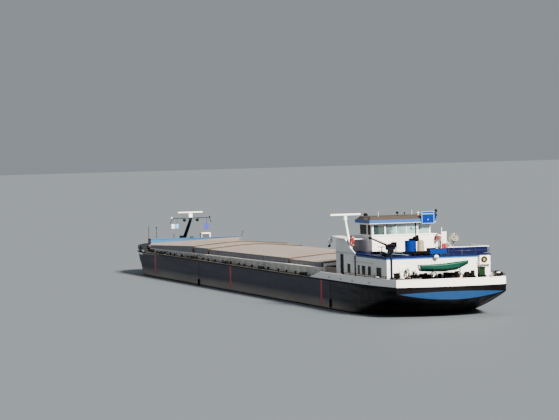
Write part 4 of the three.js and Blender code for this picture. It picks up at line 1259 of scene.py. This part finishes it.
def sternDeck():
    caps = [
        post(x + shift, y, 0.4, 0.4045, 0.0096, 16, 0.008)
        for x, y in ((-4.090, 0.330), (-4.090, -0.330), (-3.800, 0.430), (-3.800, -0.430))
        for shift in (-0.013, 0.013)
    ]
    caps.append(post(-4.1, -0.385, 0.4165, 0.4235, 0.0145, 16, 0.012))
    assemble("bollardCaps", caps, "whitePaint", bevel=0.0008)
    assemble("quarterBollards", [
        post(-4.1, -0.385, deckTop, 0.418, 0.011, 16),
        post(-4.1, 0.35, deckTop, 0.352, 0.014, 16),
        post(-3.93, -0.432, deckTop, 0.424, 0.017, 16),
        block((-4.03, -0.442, deckTop), (-3.96, -0.402, 0.418)),
        post(-4.05, -0.428, deckTop, 0.412, 0.012, 16),
    ], "ironBlack", bevel=0.001)
    assemble("deckLocker", [
        block((-4.02, 0.330, 0.40), (-3.99, 0.366, 0.43)),
        post(-4.007, 0.349, deckTop, 0.40, 0.008, 12),
        block((-4.022, 0.326, 0.43), (-3.988, 0.370, 0.436)),
    ], "bagBlack", bevel=0.0012)
    assemble("sternPumpSet", [
        block((-4.11, -0.20, deckTop), (-4.06, -0.09, 0.36)),
        axle(-4.085, -0.19, -0.12, 0.378, 0.019, 16),
        axle(-4.085, -0.12, -0.098, 0.375, 0.024, 16),
        block((-3.99, -0.14, deckTop), (-3.945, -0.02, 0.426)),
        block((-3.99, 0.05, deckTop), (-3.945, 0.24, 0.416)),
        block((-3.98, -0.24, deckTop), (-3.945, -0.16, 0.418)),
    ], "ironBlack", bevel=0.0015)
    coils, drums = [], []
    for x, y, radius, layers in (
        (-4.165, 0.11, 0.026, 7), (-4.17, -0.16, 0.028, 7), (-4.16, -0.25, 0.024, 7),
        (-4.05, 0.215, 0.026, 8),
    ):
        coils += [
            hoop((x, y, 0.346 + i * 0.0095), "z", radius - i * 0.0006, 0.0052, 24) for i in range(layers)
        ]
    assemble("ropeCoils", coils, "bagBlack")
    for x, y, radius, top in (
        (-4.03, -0.012, 0.018, 0.430), (-4.035, -0.055, 0.016, 0.424), (-4.02, -0.175, 0.02, 0.428),
        (-4.03, -0.215, 0.016, 0.436), (-4.02, 0.030, 0.015, 0.420), (-4.0, 0.13, 0.014, 0.428),
        (-4.02, 0.165, 0.02, 0.424), (-4.02, 0.075, 0.02, 0.430), (-4.0, -0.11, 0.02, 0.434),
    ):
        drums.append(post(x, y, deckTop, top, radius, 16, radius * 0.94))
        drums.append(hoop((x, y, top), "z", radius * 0.92, 0.0014, 18))
    assemble("deckDrums", drums, "ironBlack")
    assemble("deckPails", [
        post(-4.02, y, deckTop, 0.422, 0.011, 14, 0.014) for y in (-0.082, -0.140, 0.104)
    ], "potClay")
    bench = [block((x, -0.27, 0.385), (x + 0.01, -0.165, 0.389)) for x in steps(-3.965, 0.014, 3)]
    bench += [block((-3.963, y, deckTop), (-3.931, y + 0.005, 0.3855)) for y in (-0.262, -0.178)]
    assemble("aftBench", bench, "timber", bevel=0.0008)
    assemble("binLid", [
        block((-4.083, -0.296, 0.456), (-4.033, -0.246, 0.463)),
        axle(-4.084, -0.283, -0.259, 0.452, 0.0025, 8),
    ], "binGreen", bevel=0.0015)
    assemble("sternHatch", [
        block((-4.20, -0.07, deckTop), (-4.15, 0.07, 0.356)),
        block((-4.204, -0.074, 0.356), (-4.146, 0.074, 0.361)),
    ], "ironBlack", bevel=0.0012)
    drum = [
        axle(-4.13, 0.2085, 0.2125, 0.380, 0.024, 20),
        axle(-4.13, 0.2675, 0.2715, 0.380, 0.024, 20),
        crank(-4.13, (0.28, 0.288, 0.302), (0.38, 0.41), 0.002),
    ]
    drum += [hoop((-4.13, 0.218 + i * 0.0046, 0.38), "y", 0.0168, 0.0021) for i in range(11)]
    assemble("sternWinchDrum", drum, "galvanised", bevel=0.0004)


# The dinghy's stations, as in the solids: y, half breadth, rail height
dinghyLine = (
    (-0.157, 0.005, 0.513), (-0.118, 0.036, 0.506), (-0.068, 0.058, 0.500), (0.02, 0.068, 0.491),
    (0.12, 0.066, 0.488), (0.206, 0.050, 0.489),
)


def dinghyDetails():
    port = [(-4.105 - half, y, rail + 0.0005) for y, half, rail in dinghyLine]
    starboard = [(-4.105 + half, y, rail + 0.0005) for y, half, rail in reversed(dinghyLine)]
    rim = [tube(port + starboard + [port[0]], 0.0036)]
    rim.append(tube([(-4.115, -0.11, 0.503), (-4.095, -0.11, 0.503)], 0.003))
    assemble("dinghyRim", rim, "dinghyRim")
    assemble("dinghyThwarts", [
        block((-4.16, 0.12, 0.472), (-4.05, 0.142, 0.4755)),
        block((-4.152, -0.052, 0.480), (-4.058, -0.032, 0.4835)),
        tube([(-4.12, -0.06, 0.489), (-4.12, 0.16, 0.481)], 0.0022),
        block((-4.127, 0.158, 0.4795), (-4.113, 0.192, 0.4825)),
    ], "timber", bevel=0.0008)
    locks = [hoop((-4.105 + side * 0.067, 0.03, 0.499), "y", 0.0045, 0.0011, 14) for side in (1, -1)]
    locks.append(block((-4.125, 0.2055, 0.466), (-4.085, 0.2095, 0.488)))
    assemble("dinghyFittings", locks, "galvanised")


def craneDetails():
    assemble("craneHead", [
        axle(-4.074, 0.384, 0.428, 0.640, 0.011, 16),
        axle(-4.05, 0.374, 0.384, 0.625, 0.018, 20),
        axle(-4.05, 0.416, 0.436, 0.625, 0.019, 20),
        block((-4.072, 0.385, 0.585), (-4.066, 0.430, 0.630)),
    ], "navyPaint", "slewing_post", bevel=0.001)
    assemble("craneCollars", [
        hoop((-4.05, 0.4, 0.402), "z", 0.0145, 0.0025),
        hoop((-4.05, 0.4, 0.347), "z", 0.0165, 0.003),
        crank(-4.05, (0.409, 0.418, 0.43), (0.47, 0.44), 0.0018),
    ], "navyPaint", "slewing_post")
    wire = [
        tube([(-4.03, 0.4, 0.6390), (-3.54, 0.4, 0.684)], 0.001),
        hoop((-3.534, 0.4, 0.676), "y", 0.008, 0.0022, 18),
        tube(
            [(x, 0.4, z) for x, z in ((-3.527, 0.672), (-3.527, 0.648), (-3.531, 0.643), (-3.535, 0.647))],
            0.0014,
        ),
    ]
    wire += [
        hoop((-4.05 + 0.516 * t, 0.4, 0.625 + 0.051 * t), "x", 0.0080 - 0.003 * t, 0.0012, 14)
        for t in (0.25, 0.5, 0.75)
    ]
    assemble("boomGear", wire, "ironBlack", "luffing_boom")


def boardDetails():
    frame = border((-3.0885, -0.192, 0.795), "x", 0.098, 0.092, 0.005, 0.0016)
    stripe = block((-3.0912, -0.238, 0.819), (-3.0885, -0.146, 0.826))
    assemble("signalBoardFrame", [frame, stripe], "skyTrim", "signal_board")
    lamp = shaft(-3.088, -3.093, -0.192, 0.780, 0.004, 16, 0.003)
    assemble("signalBoardLamp", [lamp], "lampLens", "signal_board", bevel=0.0006)


def sternGear():
    assemble("propellerNut", [
        shaft(-3.669, -3.686, 0, 0.078, 0.0075, 6, 0.003),
    ], "bronze", "propeller", bevel=0.0006)
    for side, name in ((1, "port"), (-1, "starboard")):
        y, body, slot = side * 0.042, name + "_rudder", "rudder_" + name
        plates = [
            block((-3.852, y - 0.013, 0.0105), (-3.714, y + 0.013, 0.0135)),
            block((-3.852, y - 0.013, 0.1155), (-3.714, y + 0.013, 0.1185)),
        ]
        plates += [block((-3.80, y + s * 0.006, 0.05), (-3.765, y + s * 0.0095, 0.058)) for s in (1, -1)]
        assemble(body + "Plates", plates, "navyPaint", body, bevel=0.001)


sternDeck()
dinghyDetails()
craneDetails()
boardDetails()
sternGear()
print("stern deck, dinghy, crane and stern gear are fitted out")


# Bow
def bowMastDetails():
    parts = []
    foot, top = Vector((3.921, 0, 0.366)), Vector((3.527, 0, 0.631))
    for i in range(9):
        spot = foot.lerp(top, 0.16 + i * 0.09)
        parts.append(tube([spot + Vector((-0.004, y, 0.002)) for y in (-0.022, 0.022)], 0.0013))
    for y in (0.062, -0.062):
        parts.append(hoop((3.521, y, 0.618), "x", 0.0118, 0.0016))
    for y in (0.1, -0.1):
        parts.append(tube([(3.533, y, 0.638), (3.55, 0, 0.612)], 0.0011))
    parts.append(post(3.533, -0.183, 0.638, 0.652, 0.006, 10))
    assemble("mastFittings", parts, "navyPaint", "folding_mast")
    assemble("mastLenses", [
        ball((3.521, y, 0.618), 0.0098) for y in (0.062, -0.062)
    ], "sideGlass", "folding_mast")
    assemble("scannerHousing", [
        block((3.508, -0.012, 0.644), (3.546, 0.024, 0.682)),
        post(3.533, 0.183, 0.638, 0.652, 0.006, 10),
    ], "radarWhite", "folding_mast", bevel=0.0015)


def foreDeck():
    axleX, axleZ = 3.690, 0.430
    parts = [hoop((axleX, -0.058 + i * 0.0052, axleZ), "y", 0.0265, 0.0024) for i in range(6)]
    parts += [hoop((axleX, y, axleZ), "y", 0.0405, 0.0022, 32) for y in (0.042, 0.066)]
    parts += [hoop((axleX, s * 0.1105, axleZ), "y", 0.0165, 0.0028) for s in (1, -1)]
    parts += [
        block((axleX - 0.05, -0.028, 0.352), (axleX + 0.045, 0.028, 0.388)),
        tube([(axleX - 0.012, 0.088, 0.352), (axleX - 0.024, 0.09, 0.43)], 0.0022),
        block((3.79, 0.04, deckTop), (3.83, 0.07, 0.366)),
        block((3.79, -0.07, deckTop), (3.83, -0.04, 0.366)),
    ]
    assemble("windlassGear", parts, "ironBlack", bevel=0.001)
    for side in (1, -1):
        name = "anchorChain" + ("Port" if side > 0 else "Starboard")
        path = [
            (axleX + 0.005, side * 0.052, 0.403), (3.80, side * 0.055, 0.369), (3.87, side * 0.09, 0.352),
            (3.93, side * 0.16, 0.3445),
        ]
        links = []
        for a, b in zip(path, path[1:]):
            a, b = Vector(a), Vector(b)
            count = round((b - a).length / 0.0085)
            for i in range(count):
                link = hoop((0, 0, 0), "x" if len(links) % 2 else "y", 0.0042, 0.0014, 10)
                links.append(aim(link, a.lerp(b, i / count), b - a))
        assemble(name, links, "ironBlack")
    assemble("foreHatchAndVents", [
        block((3.50, 0.12, deckTop), (3.59, 0.22, 0.362)),
        block((3.494, 0.114, 0.362), (3.596, 0.226, 0.368)),
        post(3.62, -0.29, deckTop, 0.40, 0.010, 14),
        post(3.62, -0.29, 0.394, 0.41, 0.018, 16, 0.012),
        post(4.02, 0.15, deckTop, 0.385, 0.009, 14),
        post(4.02, 0.15, 0.38, 0.394, 0.016, 16, 0.011),
    ], "ironBlack", bevel=0.0012)
    rim = border((3.6695, -0.176, 0.42), "x", 0.088, 0.136, 0.007, 0.003)
    handle = tube(
        [(3.6695, -0.15, 0.41), (3.666, -0.15, 0.412), (3.666, -0.15, 0.43), (3.6695, -0.15, 0.432)], 0.0012,
    )
    assemble("lockerRim", [rim, handle], "whitePaint")
    assemble("breakerEndPost", [
        block((3.386, 0.422, 0.412), (3.398, 0.446, 0.459)),
        block((3.383, 0.419, 0.459), (3.404, 0.449, 0.463)),
    ], "blindBrown", bevel=0.001)
    rail = [tube([(3.404, -0.43, 0.4565), (3.404, 0.43, 0.4565)], 0.0032)]
    rail += [post(3.404, y, 0.44, 0.4575, 0.004) for y in (-0.36, -0.18, 0, 0.18, 0.36)]
    assemble("breakerRail", rail, "lightBluePaint")


def bowRail():
    top = []
    for x in (3.6, 3.75, 3.88, 3.98, 4.06, 4.12, 4.17, 4.21, 4.235):
        rise = min(0.020, 0.125 * max(0, x - 3.56)) + 0.0333 * max(0, x - 3.72)
        top.append((x, hullEdge(x) - 0.003, 0.352 + rise))
    assemble("bowBulwarkCap", [tube(bothSides(top), 0.0042)], "navyPaint")
    stops = []
    for x in (3.70, 4.0):
        for side in (1, -1):
            y = side * (hullEdge(x) - 0.02)
            stops += [post(x + shift, y, deckTop, 0.372, 0.007, 12) for shift in (-0.016, 0.016)]
            stops.append(block((x - 0.03, y - 0.01, deckTop), (x + 0.03, y + 0.01, 0.346)))
    stops.append(post(4.222, 0, deckTop, 0.47, 0.0028))
    assemble("bowFairleads", stops, "ironBlack", bevel=0.0008)


bowMastDetails()
foreDeck()
bowRail()
print("bow is fitted out")


# Flags are cloth sheets in the place of the thin solids
flags = {
    "sternFlag": {
        "node": "stern_flag", "body": "hull", "bands": ("a00a1c", "a00a1c", "f2f0f0", "f2f0f0", "f2f0f0"),
        "fold": 0.006, "turns": 2.2,
    },
    "whiteFlag": {
        "node": "flag_white", "body": "folding_mast", "bands": ("e8e8f0",), "fold": 0.003, "turns": 1.6,
    },
    "lightBlueFlag": {
        "node": "flag_light_blue", "body": "folding_mast", "bands": ("5fa4dc",), "fold": 0.003, "turns": 1.6,
    },
    "violetFlag": {
        "node": "flag_violet", "body": "folding_mast", "bands": ("3138a8",), "fold": 0.004, "turns": 1.9,
    },
}


def makeFlag(name, facts):
    low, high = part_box(facts["node"])
    middle = (low + high) / 2
    lean = (high.x - low.x - 0.004) / (high.z - low.z) if name == "sternFlag" else 0.0
    deselectAll()
    bpy.ops.mesh.primitive_grid_add(x_subdivisions=24, y_subdivisions=24, size=1, rotation=axisTurns["x"])
    cloth = joinAll(name, [takeNew()])
    width = high.y - low.y
    height = high.z - low.z
    for vertex in cloth.data.vertices:
        u, v = vertex.co.y + 0.5, vertex.co.z + 0.5
        swing = math.sin(u * facts["turns"] * 2 * math.pi + 0.6 * v) * facts["fold"]
        wave = swing * (0.35 + 0.65 * (1 - v))
        vertex.co = (middle.x - lean * (v - 0.5) * height + wave, low.y + u * width, low.z + v * height)
    cloth.data.update()
    modify(cloth, "SOLIDIFY", thickness=0.0006, offset=0)
    choose(cloth)
    bpy.ops.object.shade_smooth()
    finish(cloth, flagMaterial(name + "Cloth", facts["bands"], low.z, high.z), facts["body"])
    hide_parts(facts["node"])


for name, facts in flags.items():
    makeFlag(name, facts)
print("flags are hung")
